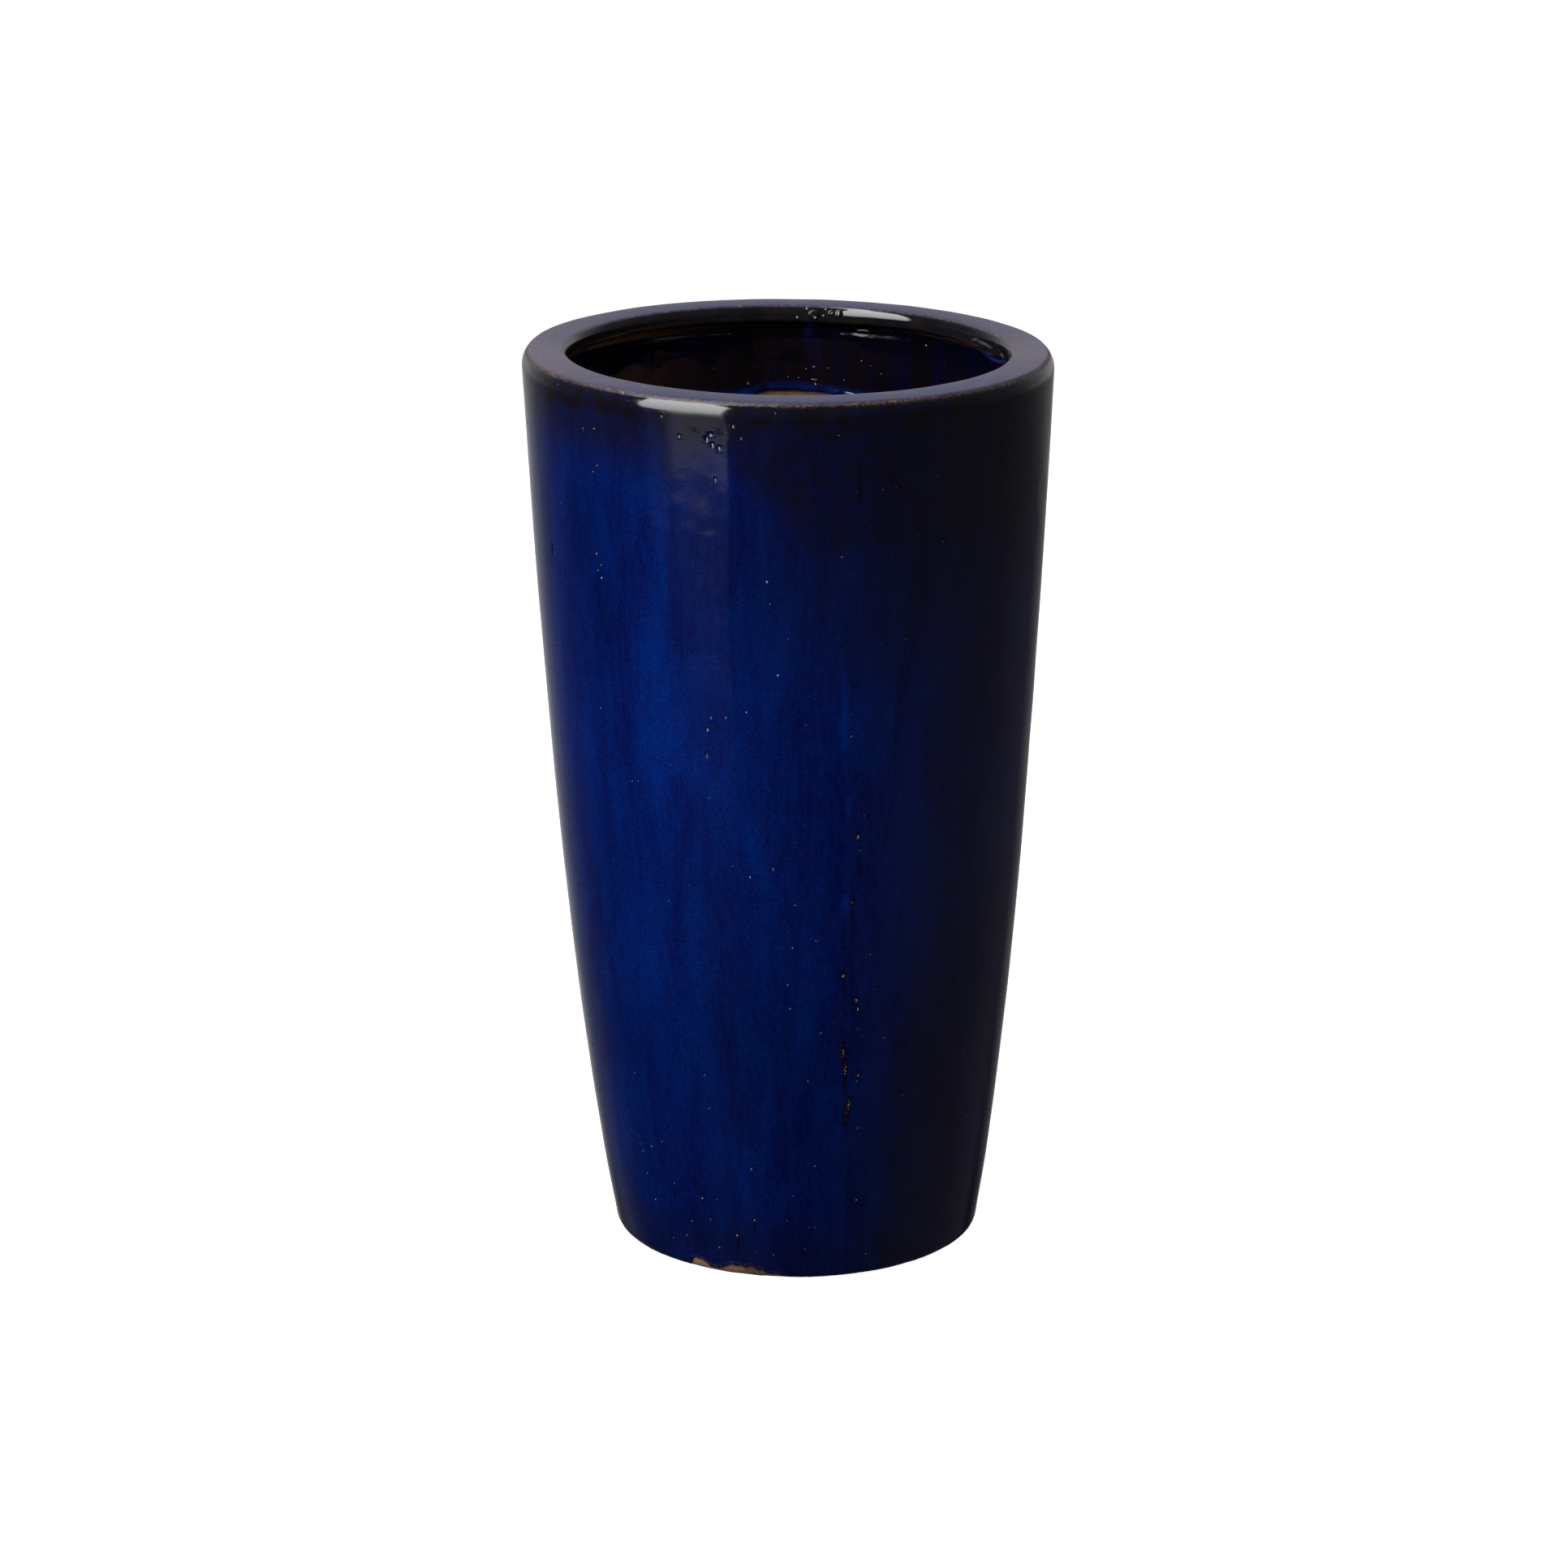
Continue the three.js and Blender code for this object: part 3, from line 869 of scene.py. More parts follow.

    # Tone: how deep the blue is. Brown and shade: how far it goes to the near-black of the rim, and painted
    # shade that darkens the right side, away from the light.
    clouds = waves(place, 70, 110, 93, 3)
    right_end = 1 - ease((azimuth - 64) / 32)
    # The near-black band reaches lower towards the right: painted shade.
    rightwards = ease((azimuth + 30) / 26) * right_end
    rim_start = 636 - 76 * rightwards - 16 * waves(place, 26, 60, 95, 3)
    rim_band = ease((z_true - rim_start) / 55)
    foot_band = 1 - ease((z_true - 10 + 8 * clouds) / 60)
    ragged = 7 * waves(place, 10, 14, 98, 3, 0.6)
    shoulder = ease((z_true - 683 + ragged) / 13)
    brown_and_shade = np.maximum(0.78 * rim_band + 0.22 * shoulder, 0.42 * foot_band)
    brown_and_shade = np.where(outside, brown_and_shade, 1 - ease((s - S_LEDGE - 2) / 3))
    # Painted shade: the right side is darkened, high up and low down.
    shade = ease((turn_between(azimuth, 30) + 64) / 34) * right_end
    shade = shade * ease((z_true - 425 + 40 * clouds) / 170)
    low_shade = ease(azimuth / 34) * right_end * (0.42 + 0.25 * clouds)
    brown_and_shade = np.where(outside, np.maximum(brown_and_shade, np.maximum(0.56 * shade, low_shade)), brown_and_shade)
    streaks = waves(place, 24, 150, 96, 3, 0.6)
    tone = 1.0 + 0.22 * clouds + 0.12 * streaks
    tone = tone - 0.30 * ease((z_true - 400) / 220) - 0.16 * ease((320 - z_true) / 200)
    tone = tone - 0.12 * bell((z_true - 205) / 60)
    worn = ease((s - S_CORNER + 3.2) / 1.2) * (1 - ease((s - S_CORNER - 0.8) / 1.2)) * face
    ledge = bell((s - S_LEDGE - 5) / 6) * (1 - bell(turn_between(azimuth, 147) / 3.5))
    worn = np.maximum(worn, 0.8 * ledge * face)
    inside = ease((s - S_FACE + 2) / 4)
    satin = ease((s - S_CORNER + 1.5) / 2.0) * (1 - ease((s - S_FACE + 1.0) / 2.0))
    # Painted reflection: a lavender-grey sheen on the lip top at its left and right sides.
    lip_sheen = np.maximum(bell(turn_between(azimuth, -96) / 34), bell(turn_between(azimuth, 72) / 30))
    lip_sheen = lip_sheen * (0.75 + 0.5 * clouds)
    end_glow = inner * bell((S_END - base_s - 3.0) / 3.2)
    glow = np.maximum(glow, 0.40 * end_glow * (0.6 + 0.9 * waves(place, 6, 9, 97, 2)))

    masks = {"bare": bare, "dark": dark, "glow": np.clip(glow, 0, 1), "thin": thin, "brown_and_shade": brown_and_shade}
    masks.update({"tone": tone, "inside": inside, "satin": satin, "worn": worn, "lip_sheen": lip_sheen})
    xyz = turned_points(r, z, azimuth, nr, nz, lift - depth)
    return make_mesh("coat_of_glaze", xyz, corners, starts, material, masks, 75.0)


# ---- the clay pieces


# Cells round each kind of clay piece, and along and round a seam rope.
HALF_COLUMNS, TURNED_COLUMNS, COIL_COLUMNS = 150, 224, 320
ROPE_ROWS, ROPE_AROUND = 200, 40


def clay_face(s):
    """Points of the clay under the finished outline at lengths along it."""
    r, z, nr, nz = OUTLINE.at(np.asarray(s, float))
    return np.column_stack([r - SKIN * nr, z - SKIN * nz])


def even(spacing):
    """Rows the same distance apart."""
    return lambda s: spacing + 0 * s


def clay_inner(z):
    return inner_radius(z) + SKIN


def no_marks(place, nr, nz, azimuth):
    return 0.0


def build_turned(name, points, material, rough, spacing, columns, span=None, soften=0.6):
    """A closed section turned about the axis, or through a span of azimuths with flat ends."""
    section = Curve(points, closed=True, soften=soften)
    rows = rows_by_spacing(0.0, section.length, spacing)[:-1]
    wrap = span is None
    u, v, corners, starts = lattice(np.zeros((len(rows), columns), int), wrap_u=wrap)
    low, high = span or (-180.0, 180.0)
    azimuth = low + u * (high - low) / columns
    s = np.interp(v, np.arange(len(rows) + 1), np.append(rows, section.length))
    r, z, nr, nz = section.at(s)
    if not wrap:
        gap = np.degrees(JOINT / 2 / np.maximum(r, 1))
        azimuth = np.where(u == 0, low + gap, np.where(u == columns, high - gap, azimuth))
    turn = np.radians(azimuth)
    place = np.array([r * np.sin(turn), -r * np.cos(turn), z])
    xyz = turned_points(r, z, azimuth, nr, nz, rough(place, nr, nz, azimuth))
    return make_mesh(name, xyz, corners, starts, material, clay_masks(place, nr), 40.0)


def clay_masks(place, nr):
    """Where glaze has splashed on the clay inside, and how sooty and wet-marked it is."""
    z = place[2]
    inside = (nr < 0.3).astype(float)
    spill = ease((z - 520 + 60 * waves(place, 30, 120, 101, 3)) / 120) * inside
    grime = 0.5 + 0.5 * waves(place, 45, 90, 103, 3)
    return {"spill": 0.35 * spill, "grime": grime}


def wall_roughness(place, nr, nz, azimuth):
    """Marks of the hand on the wall's inner side, all of them pressed into the clay."""
    x, y, z = place
    inside = ease(-nr * 2) * ease((z - 30) / 20)
    strokes = waves(place, 30, 9, 111) * 0.28 + waves(place, 60, 26, 112) * 0.4
    grit = 0.10 * waves(place, 3.5, 3.5, 113, 2)
    outside = ease(nr * 2) * 0.05 * waves(place, 7, 7, 114)
    foot = 0.25 * waves(place, 8, 3, 115) * ease((9 - z) / 6)
    dent = np.minimum(strokes + grit - 0.55, 0.0)
    inside = inside * ease((np.abs(x) - 17) / 9)
    return inside * dent - np.abs(outside) + np.minimum(foot - 0.2, 0) * ease((9 - z) / 6)


def build_walls(material):
    foot_r = float(outer_radius(FOOT_ROUND)) - SKIN - FOOT_ROUND
    foot = arc((foot_r, FOOT_ROUND), FOOT_ROUND, -90, -6, 12)
    s_low, s_high = outside_s(FOOT_ROUND + 2.5), outside_s(LIP_SEAT - JOINT)
    outer = clay_face(np.linspace(s_low, s_high, 160))
    seat = LIP_SEAT - JOINT
    outer[-1, 1] = seat
    heights = np.linspace(seat, 0, 200)
    inner = np.column_stack([clay_inner(heights), heights])
    points = np.vstack([foot, outer, inner])
    length_foot = 9.0
    length_outer = length_foot + float(s_high - s_low)

    def spacing(s):
        hidden = ease((s - length_foot - 30) / 20) * (1 - ease((s - length_outer + 20) / 15))
        return 1.3 + 22.0 * hidden + 2.6 * ease((s - length_outer - 22) / 12)

    halves = (("left_wall_half", (-180.0, 0.0)), ("right_wall_half", (0.0, 180.0)))
    return [
        build_turned(name, points, material, wall_roughness, spacing, HALF_COLUMNS, span)
        for name, span in halves
    ]


def build_lip_ring(material):
    s_low, s_high = outside_s(LIP_SEAT), inside_s(LIP_SEAT)
    points = clay_face(np.linspace(s_low, s_high, 260))
    points[[0, -1], 1] = LIP_SEAT
    return build_turned("ring_of_lip", points, material, no_marks, even(2.2), TURNED_COLUMNS, soften=0.8)


def build_floor(material):
    def edge(z):
        return float(clay_inner(z)) - JOINT

    points = [
        (DRAIN_RADIUS + 1.2, FLOOR_UNDER),
        (edge(FLOOR_UNDER), FLOOR_UNDER),
        (edge(FLOOR_TOP), FLOOR_TOP),
        (DRAIN_RADIUS + 2.6, FLOOR_TOP),
        (DRAIN_RADIUS + 0.6, FLOOR_TOP - 1.4),
        (DRAIN_RADIUS, FLOOR_TOP - 4.0),
        (DRAIN_RADIUS, FLOOR_UNDER + 2.0),
    ]

    def trowelled(place, nr, nz, azimuth):
        radius = np.hypot(place[0], place[1])
        inner = ease((118 - radius) / 14)
        rings = noise(radius / 6.5, azimuth / 70, 0.3, 121) * 0.25
        hand = waves(place, 24, 24, 122) * 0.5
        hole = 0.35 * waves(place, 5, 7, 123) * ease((24 - radius) / 8)
        return np.minimum(rings + hand - 0.5, 0) * inner * np.abs(nz) + np.minimum(hole, 0.1)

    return build_turned("slab_of_floor", points, material, trowelled, even(2.6), TURNED_COLUMNS, soften=0.9)


def build_corner_coil(material):
    base_r = float(clay_inner(CORNER_BASE)) - JOINT
    top_r = float(clay_inner(CORNER_TOP)) - JOINT
    round_side = arc((base_r, CORNER_BASE), CORNER_SIZE, 90, 180, 24)
    points = np.vstack([[(base_r, CORNER_BASE), (top_r, CORNER_TOP)], round_side])

    def thumbed(place, nr, nz, azimuth):
        x, y, _ = place
        exposed = ease((nz - nr) * 1.2)
        thumb = np.abs(np.sin(np.radians(azimuth) * 19 + 2.0 * noise(x / 40, y / 40, 0.0, 131)))
        hand = waves(place, 12, 8, 132)
        return exposed * np.minimum(-1.3 * thumb**3 + 0.5 * hand - 0.5, 0.0)

    return build_turned("coil_of_floor_joint", points, material, thumbed, even(1.5), COIL_COLUMNS, soften=0.5)


def build_seam_coil(name, side, material):
    """A rope of clay smeared over a seam inside. Side is 1 at the front and -1 at the back."""
    u, v, corners, starts = lattice(np.zeros((ROPE_AROUND, ROPE_ROWS), int), wrap_u=False)
    top = SEAM_TOP - 2.0
    height = SEAM_BASE + u / ROPE_ROWS * (top - SEAM_BASE)
    angle = v / ROPE_AROUND * 2 * math.pi
    half = SEAM_WIDTH / 2
    seed = 140 if side > 0 else 150
    taper = np.sqrt(np.clip(ease((top - height) / 26), 0.02, 1))
    sway = 1.6 * noise(height / 90, 0.5, 0.5, seed)
    broad = half - 1.8 + 1.1 * noise(height / 34, 1.5, 0.5, seed) - 1.2 * np.abs(sway) / 1.6
    across = np.cos(angle) * np.minimum(broad, half - 1.0)
    swell = np.sin(angle)
    near_edge = 1 - (np.abs(across) / broad) ** 2
    stroke = 0.5 * noise(across / 9, height / 16, 0.5, seed + 1)
    stroke = stroke + 0.35 * noise(across / 5, height / 30, 3.5, seed + 2)
    thick = (SEAM_DEPTH - 1.4) * np.clip(near_edge, 0, 1) ** 1.4 * taper + stroke * near_edge
    wall_r = clay_inner(height) - JOINT - 0.05
    flat = across + sway * near_edge
    fit = wall_r - np.sqrt(np.maximum(wall_r**2 - flat**2, 0))
    depth = np.where(swell > 0, np.maximum(thick, 0.25), 0.0)
    radius = wall_r - fit - depth
    x, y = flat, -side * radius
    xyz = np.column_stack(out_of_true(x, y, height))
    masks = clay_masks(np.array([x, y, height]), -np.ones_like(x))
    return make_mesh(name, xyz, corners, starts, material, masks, 60.0)


# ---- material nodes


class Nodes:
    """Short ways to make and link the nodes of one tree."""

    def __init__(self, tree):
        self.tree = tree
        tree.nodes.clear()

    def new(self, kind, inputs=(), **settings):
        made = self.tree.nodes.new(kind)
        for key, value in settings.items():
            setattr(made, key, value)
        for key, value in dict(inputs).items():
            self.put(made.inputs[key], value)
        return made

    def put(self, socket, value):
        if isinstance(value, bpy.types.NodeSocket):
            self.tree.links.new(value, socket)
        elif isinstance(value, (tuple, list)) and len(value) == 3 and socket.type == "RGBA":
            socket.default_value = (*value, 1.0)
        else:
            socket.default_value = value

    def math(self, operation, a, b, clamp=False):
        return self.new("ShaderNodeMath", {0: a, 1: b}, operation=operation, use_clamp=clamp).outputs[0]

    def times(self, a, b, clamp=False):
        return self.math("MULTIPLY", a, b, clamp)

    def times_plus(self, a, b, c, clamp=False):
        """a times b, plus c."""
        inputs = {0: a, 1: b, 2: c}
        made = self.new("ShaderNodeMath", inputs, operation="MULTIPLY_ADD", use_clamp=clamp)
        return made.outputs[0]

    def vector(self, operation, a, b):
        made = self.new("ShaderNodeVectorMath", {0: a, 1: b}, operation=operation)
        return made.outputs["Value" if operation == "DOT_PRODUCT" else "Vector"]

    def grey(self, value):
        """One value three times over, as a vector."""
        return self.new("ShaderNodeCombineXYZ", {0: value, 1: value, 2: value}).outputs[0]

    def mix(self, share, a, b, blend="MIX"):
        settings = {"data_type": "RGBA", "blend_type": blend, "clamp_factor": True}
        made = self.new("ShaderNodeMix", **settings)
        for key, value in ((0, share), (6, a), (7, b)):
            self.put(made.inputs[key], value)
        return made.outputs[2]

    def between(self, value, low, high, to_low=0.0, to_high=1.0):
        inputs = {0: value, 1: low, 2: high, 3: to_low, 4: to_high}
        made = self.new("ShaderNodeMapRange", inputs, interpolation_type="SMOOTHSTEP")
        return made.outputs[0]

    def noise(self, place, scale, detail=3.0, rough=0.5, twist=0.0):
        inputs = {"Vector": place, "Scale": scale, "Detail": detail}
        inputs.update({"Roughness": rough, "Distortion": twist})
        return self.new("ShaderNodeTexNoise", inputs).outputs["Fac"]

    def dots(self, place, scale, width, missing, spread=0.0):
        """Round dots in some cells. Missing is the share without, spread how much wider some are."""
        cells = self.new("ShaderNodeTexVoronoi", {"Vector": place, "Scale": scale}, feature="F1")
        chance = self.new("ShaderNodeSeparateColor", {0: cells.outputs["Color"]}).outputs
        if spread:
            width = self.times_plus(chance[1], spread, width)
        dot = self.math("LESS_THAN", cells.outputs["Distance"], width)
        return self.times(dot, self.math("GREATER_THAN", chance[0], missing))

    def finish(self, kind, inputs):
        self.new("ShaderNodeOutputMaterial", {"Surface": self.new(kind, inputs).outputs[0]})

    def mask(self, name):
        return self.new("ShaderNodeAttribute", attribute_name=name).outputs["Fac"]

    def ramp(self, value, stops):
        made = self.new("ShaderNodeValToRGB", {"Fac": value})
        points = made.color_ramp.elements
        while len(points) < len(stops):
            points.new(0.5)
        for point, (place, colour) in zip(points, stops):
            point.position = place
            colour = colour if isinstance(colour, tuple) else (colour,) * 3
            point.color = (*colour, 1.0)
        return made.outputs["Color"]


def new_material(name):
    material = bpy.data.materials.new(name)
    material.use_nodes = True
    return material, Nodes(material.node_tree)


CLAY_LIGHT = (0.20, 0.105, 0.055)
CLAY_DARK = (0.085, 0.043, 0.024)
COBALT = (0.0005, 0.0080, 0.074)
NAVY = (0.0011, 0.0028, 0.038)
VIOLET = (0.0021, 0.0027, 0.039)
THREAD_BLUE = (0.0004, 0.0098, 0.086)
GLOW_BLUE = (0.0006, 0.0120, 0.115)
# Painted shade of pits, craters, grooves and the crack, and the dark of streaks.
DARK_AND_HOLLOW_SHADE = (0.0016, 0.0012, 0.0016)
WORN_DARK, WORN_LIGHT = (0.008, 0.006, 0.006), (0.055, 0.037, 0.024)
WORN_GOLD, WORN_BLUE = (0.16, 0.095, 0.045), (0.003, 0.010, 0.07)
BARE_DARK, BARE_LIGHT = (0.11, 0.055, 0.018), (0.40, 0.25, 0.11)
LIP_BLUE, LIP_BROWN = (0.0085, 0.0115, 0.042), (0.014, 0.0115, 0.024)
# The lip's blue patches, and a painted lavender-grey reflection for its sides.
LIP_PATCH, LIP_SHEEN = (0.005, 0.012, 0.060), (0.052, 0.040, 0.052)
GLAZE_IOR = 1.4


def glaze_material():
    material, n = new_material("blue_glaze")
    place = n.new("ShaderNodeTexCoord").outputs["Object"]
    upright = n.vector("MULTIPLY", place, (1.0, 1.0, 0.20))
    upright_fine = n.vector("MULTIPLY", place, (1.0, 1.0, 0.16))

    bands = n.noise(upright, 30.0, 6.0, 0.64, 0.5)
    threads = n.noise(upright_fine, 300.0, 5.0, 0.62)
    mottle = n.noise(place, 75.0, 7.0, 0.66, 0.3)
    grain = n.noise(place, 620.0, 3.0, 0.6)

    colour = n.mix(n.between(bands, 0.32, 0.68), NAVY, COBALT)
    colour = n.mix(n.between(mottle, 0.42, 0.80, 0.0, 0.55), colour, VIOLET)
    thread_share = n.between(threads, 0.35, 0.68)
    colour = n.mix(n.times(thread_share, 0.35), colour, THREAD_BLUE)
    fine = n.between(grain, 0.3, 0.7, 0.66, 1.34)
    tone = n.times(fine, n.mask("tone"))
    colour = n.vector("MULTIPLY", colour, n.grey(tone))

    # Near-black of the rim and foot, and painted shade over the right side.
    brown_and_shade_share = n.times(n.mask("brown_and_shade"), n.between(mottle, 0.30, 0.62, 1.15, 0.80), clamp=True)
    brown_and_shade = n.mix(bands, (0.0022, 0.0020, 0.0042), (0.0042, 0.0032, 0.0030))
    colour = n.mix(brown_and_shade_share, colour, brown_and_shade)

    inner = n.mix(n.between(bands, 0.38, 0.70), (0.0010, 0.0008, 0.0016), (0.0002, 0.0006, 0.0075))
    flecks = n.between(n.noise(upright_fine, 190.0, 4.0, 0.6, 0.8), 0.62, 0.72)
    inner = n.mix(n.times(flecks, 0.35), inner, (0.0003, 0.0035, 0.036))
    face = n.mix(n.between(mottle, 0.35, 0.65), (0.0030, 0.0031, 0.0046), (0.0056, 0.0047, 0.0044))
    inner = n.mix(n.mask("brown_and_shade"), inner, face)
    colour = n.mix(n.mask("inside"), colour, inner)

    satin = n.mask("satin")
    top = n.mix(n.between(mottle, 0.38, 0.66), LIP_BLUE, LIP_BROWN)
    patches = n.between(n.noise(place, 52.0, 5.0, 0.6, 0.5), 0.56, 0.74, 0.0, 0.7)
    top = n.mix(patches, top, LIP_PATCH)
    # Painted reflection: lavender-grey on the lip top at its sides.
    top = n.mix(n.times(n.mask("lip_sheen"), 0.8), top, LIP_SHEEN)
    colour = n.mix(satin, colour, top)

    colour = n.mix(n.mask("glow"), colour, GLOW_BLUE)
    # Painted shade in pits, craters, grooves and the crack, with dark streaks.
    colour = n.mix(n.times(n.mask("dark"), 0.9), colour, DARK_AND_HOLLOW_SHADE)
    thin = n.mask("thin")
    worn_share = n.between(n.noise(place, 420.0, 3.0, 0.6), 0.4, 0.66)
    thin_colour = n.mix(worn_share, WORN_DARK, WORN_LIGHT)
    blue_part = n.between(n.noise(place, 260.0, 3.0, 0.6), 0.60, 0.70, 0.0, 0.6)
    gold = n.between(n.noise(place, 640.0, 2.0, 0.5), 0.60, 0.70)
    thin_colour = n.mix(gold, thin_colour, WORN_GOLD)
    thin_colour = n.mix(blue_part, thin_colour, WORN_BLUE)
    colour = n.mix(thin, colour, thin_colour)

    # Pinholes too small for the mesh: a few larger ones and a dust of fine ones.
    pinholes = n.dots(place, 120.0, 0.030, 0.93, 0.045)
    dust = n.dots(place, 290.0, 0.07, 0.93)
    open_glaze = n.math("SUBTRACT", 1.0, satin, clamp=True)
    small = n.math("MAXIMUM", n.times(pinholes, 0.45), n.times(dust, 0.25))
    fray = n.noise(place, 760.0, 3.0, 0.6)
    shown = n.times_plus(n.math("SUBTRACT", fray, 0.5), 1.1, n.mask("bare"))
    shown = n.between(shown, 0.16, 0.52, 0.0, 0.9)
    shown = n.times(shown, n.between(n.mask("bare"), 0.02, 0.12))
    bare = n.math("MAXIMUM", shown, n.times(small, open_glaze), clamp=True)
    clay = n.mix(n.between(fray, 0.38, 0.66), BARE_DARK, BARE_LIGHT)
    colour = n.mix(bare, colour, clay)

    gloss = n.between(n.noise(place, 38.0, 4.0, 0.6), 0.35, 0.7, 0.035, 0.085)
    rough = n.times_plus(satin, 0.20, gloss)
    rough = n.times_plus(n.mask("worn"), 0.34, rough)
    rough = n.times_plus(thin, 0.12, rough)
    rough = n.times_plus(bare, 0.45, rough, clamp=True)

    peel = n.noise(place, 210.0, 2.0, 0.45)
    fine_peel = n.noise(place, 700.0, 2.0, 0.5)
    height = n.times_plus(fine_peel, 0.16, n.times(peel, 0.55))
    height = n.times_plus(bare, -0.55, height)
    height = n.times_plus(threads, 0.35, height)
    bump = n.new("ShaderNodeBump", {"Strength": 1.0, "Distance": 0.00003, "Height": height})
    surface = {"Base Color": colour, "Roughness": rough, "IOR": GLAZE_IOR, "Normal": bump.outputs[0]}
    n.finish("ShaderNodeBsdfPrincipled", surface)
    return material


def clay_material(name, light, dark):
    material, n = new_material(name)
    place = n.new("ShaderNodeTexCoord").outputs["Object"]
    cloud = n.noise(place, 26.0, 5.0, 0.6, 0.4)
    sand = n.noise(place, 480.0, 4.0, 0.65)
    drawn = n.noise(n.vector("MULTIPLY", place, (0.5, 0.5, 3.0)), 60.0, 4.0, 0.6)
    colour = n.mix(n.between(cloud, 0.34, 0.66), dark, light)
    colour = n.mix(n.between(sand, 0.30, 0.72, 0.0, 0.55), colour, tuple(c * 0.55 for c in dark))
    colour = n.mix(n.between(drawn, 0.45, 0.75, 0.0, 0.35), colour, tuple(min(c * 1.5, 1) for c in light))
    grime = n.mask("grime")
    colour = n.mix(n.between(grime, 0.35, 0.75, 0.0, 0.55), colour, (0.030, 0.019, 0.013))
    stone = n.dots(place, 330.0, 0.16, 0.62)
    colour = n.mix(n.times(stone, 0.7), colour, (0.26, 0.19, 0.13))

    spill = n.mask("spill")
    drops = n.noise(n.vector("MULTIPLY", place, (1.0, 1.0, 0.35)), 95.0, 5.0, 0.6, 0.6)
    wet = n.between(n.times_plus(spill, 0.30, drops), 0.72, 0.78)
    wet = n.times(wet, n.math("GREATER_THAN", spill, 0.02))
    colour = n.mix(wet, colour, n.mix(cloud, (0.0006, 0.003, 0.028), (0.006, 0.004, 0.006)))
    rough = n.between(sand, 0.3, 0.7, 0.78, 0.95)
    rough = n.times_plus(wet, -0.62, rough, clamp=True)

    pores = n.noise(place, 1100.0, 3.0, 0.6)
    height = n.times_plus(pores, 0.5, n.times(sand, 0.8))
    height = n.times_plus(drawn, 0.9, height)
    height = n.times_plus(stone, 0.5, height)
    bump = n.new("ShaderNodeBump", {"Strength": 0.8, "Distance": 0.0005, "Height": height})
    surface = {"Base Color": colour, "Roughness": rough, "Normal": bump.outputs[0]}
    n.finish("ShaderNodeBsdfPrincipled", surface)
    return material


# ---- the pieces

glaze = glaze_material()
wall_clay = clay_material("fired_clay_wall", CLAY_LIGHT, CLAY_DARK)
coil_clay = clay_material("fired_clay_coil", (0.23, 0.125, 0.068), (0.105, 0.055, 0.031))
floor_clay = clay_material("fired_clay_floor", (0.21, 0.118, 0.066), (0.095, 0.052, 0.031))


def stands_for(piece, node):
    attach(piece, "root")
    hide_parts(node)


stands_for(build_coat(glaze), "glaze_coat")
left_wall, right_wall = build_walls(wall_clay)
stands_for(left_wall, "wall_half_left")
stands_for(right_wall, "wall_half_right")
stands_for(build_lip_ring(wall_clay), "lip_ring")
stands_for(build_floor(floor_clay), "floor_slab")
stands_for(build_corner_coil(coil_clay), "floor_joint_coil")
stands_for(build_seam_coil("front_seam_rope", 1, coil_clay), "seam_coil_front")
stands_for(build_seam_coil("back_seam_rope", -1, coil_clay), "seam_coil_back")


# ---- floor, lights, surroundings


# Half the floor's side in metres, and how brightly it shows.
FLOOR_HALF, FLOOR_BRIGHT = 40.0, 0.95


def studio_floor():
    mesh = bpy.data.meshes.new("studio_floor")
    half = FLOOR_HALF
    corners = [(-half, -half, 0), (half, -half, 0), (half, half, 0), (-half, half, 0)]
    mesh.from_pydata(corners, [], [(0, 1, 2, 3)])
    made = bpy.data.objects.new("studio_floor", mesh)
    bpy.context.scene.collection.objects.link(made)
    material, n = new_material("pale_floor")
    matt = n.new("ShaderNodeBsdfDiffuse", {"Color": (0.3, 0.3, 0.3)})
    bright = n.new("ShaderNodeEmission", {"Color": (1.0, 1.0, 1.0), "Strength": FLOOR_BRIGHT})
    both = n.new("ShaderNodeAddShader", {0: matt.outputs[0], 1: bright.outputs[0]})
    n.new("ShaderNodeOutputMaterial", {"Surface": both.outputs[0]})
    mesh.materials.append(material)
    made.visible_glossy = False
    made.visible_diffuse = False


# How far away the lights stand and the height they are aimed at, in metres.
LIGHT_DISTANCE, LIGHT_AIM = 2.6, 0.45


def towards(azimuth, elevation):
    """A unit vector at an azimuth from the camera's side, positive to the right."""
    turn = math.radians(CAMERA_AZIMUTH + azimuth)
    rise = math.radians(elevation)
    flat = math.cos(rise)
    return Vector((math.sin(turn) * flat, -math.cos(turn) * flat, math.sin(rise)))


def area_light(name, azimuth, elevation, width, height, power):
    """A soft light that shows in no reflection: the surroundings have its reflection."""
    data = bpy.data.lights.new(name, "AREA")
    data.shape = "RECTANGLE"
    data.size = width
    data.size_y = height
    data.energy = power
    made = bpy.data.objects.new(name, data)
    bpy.context.scene.collection.objects.link(made)
    direction = towards(azimuth, elevation)
    made.location = direction * LIGHT_DISTANCE + Vector((0, 0, LIGHT_AIM))
    made.rotation_mode = "QUATERNION"
    made.rotation_quaternion = direction.to_track_quat("Z", "Y")
    made.visible_glossy = False
    made.visible_camera = False


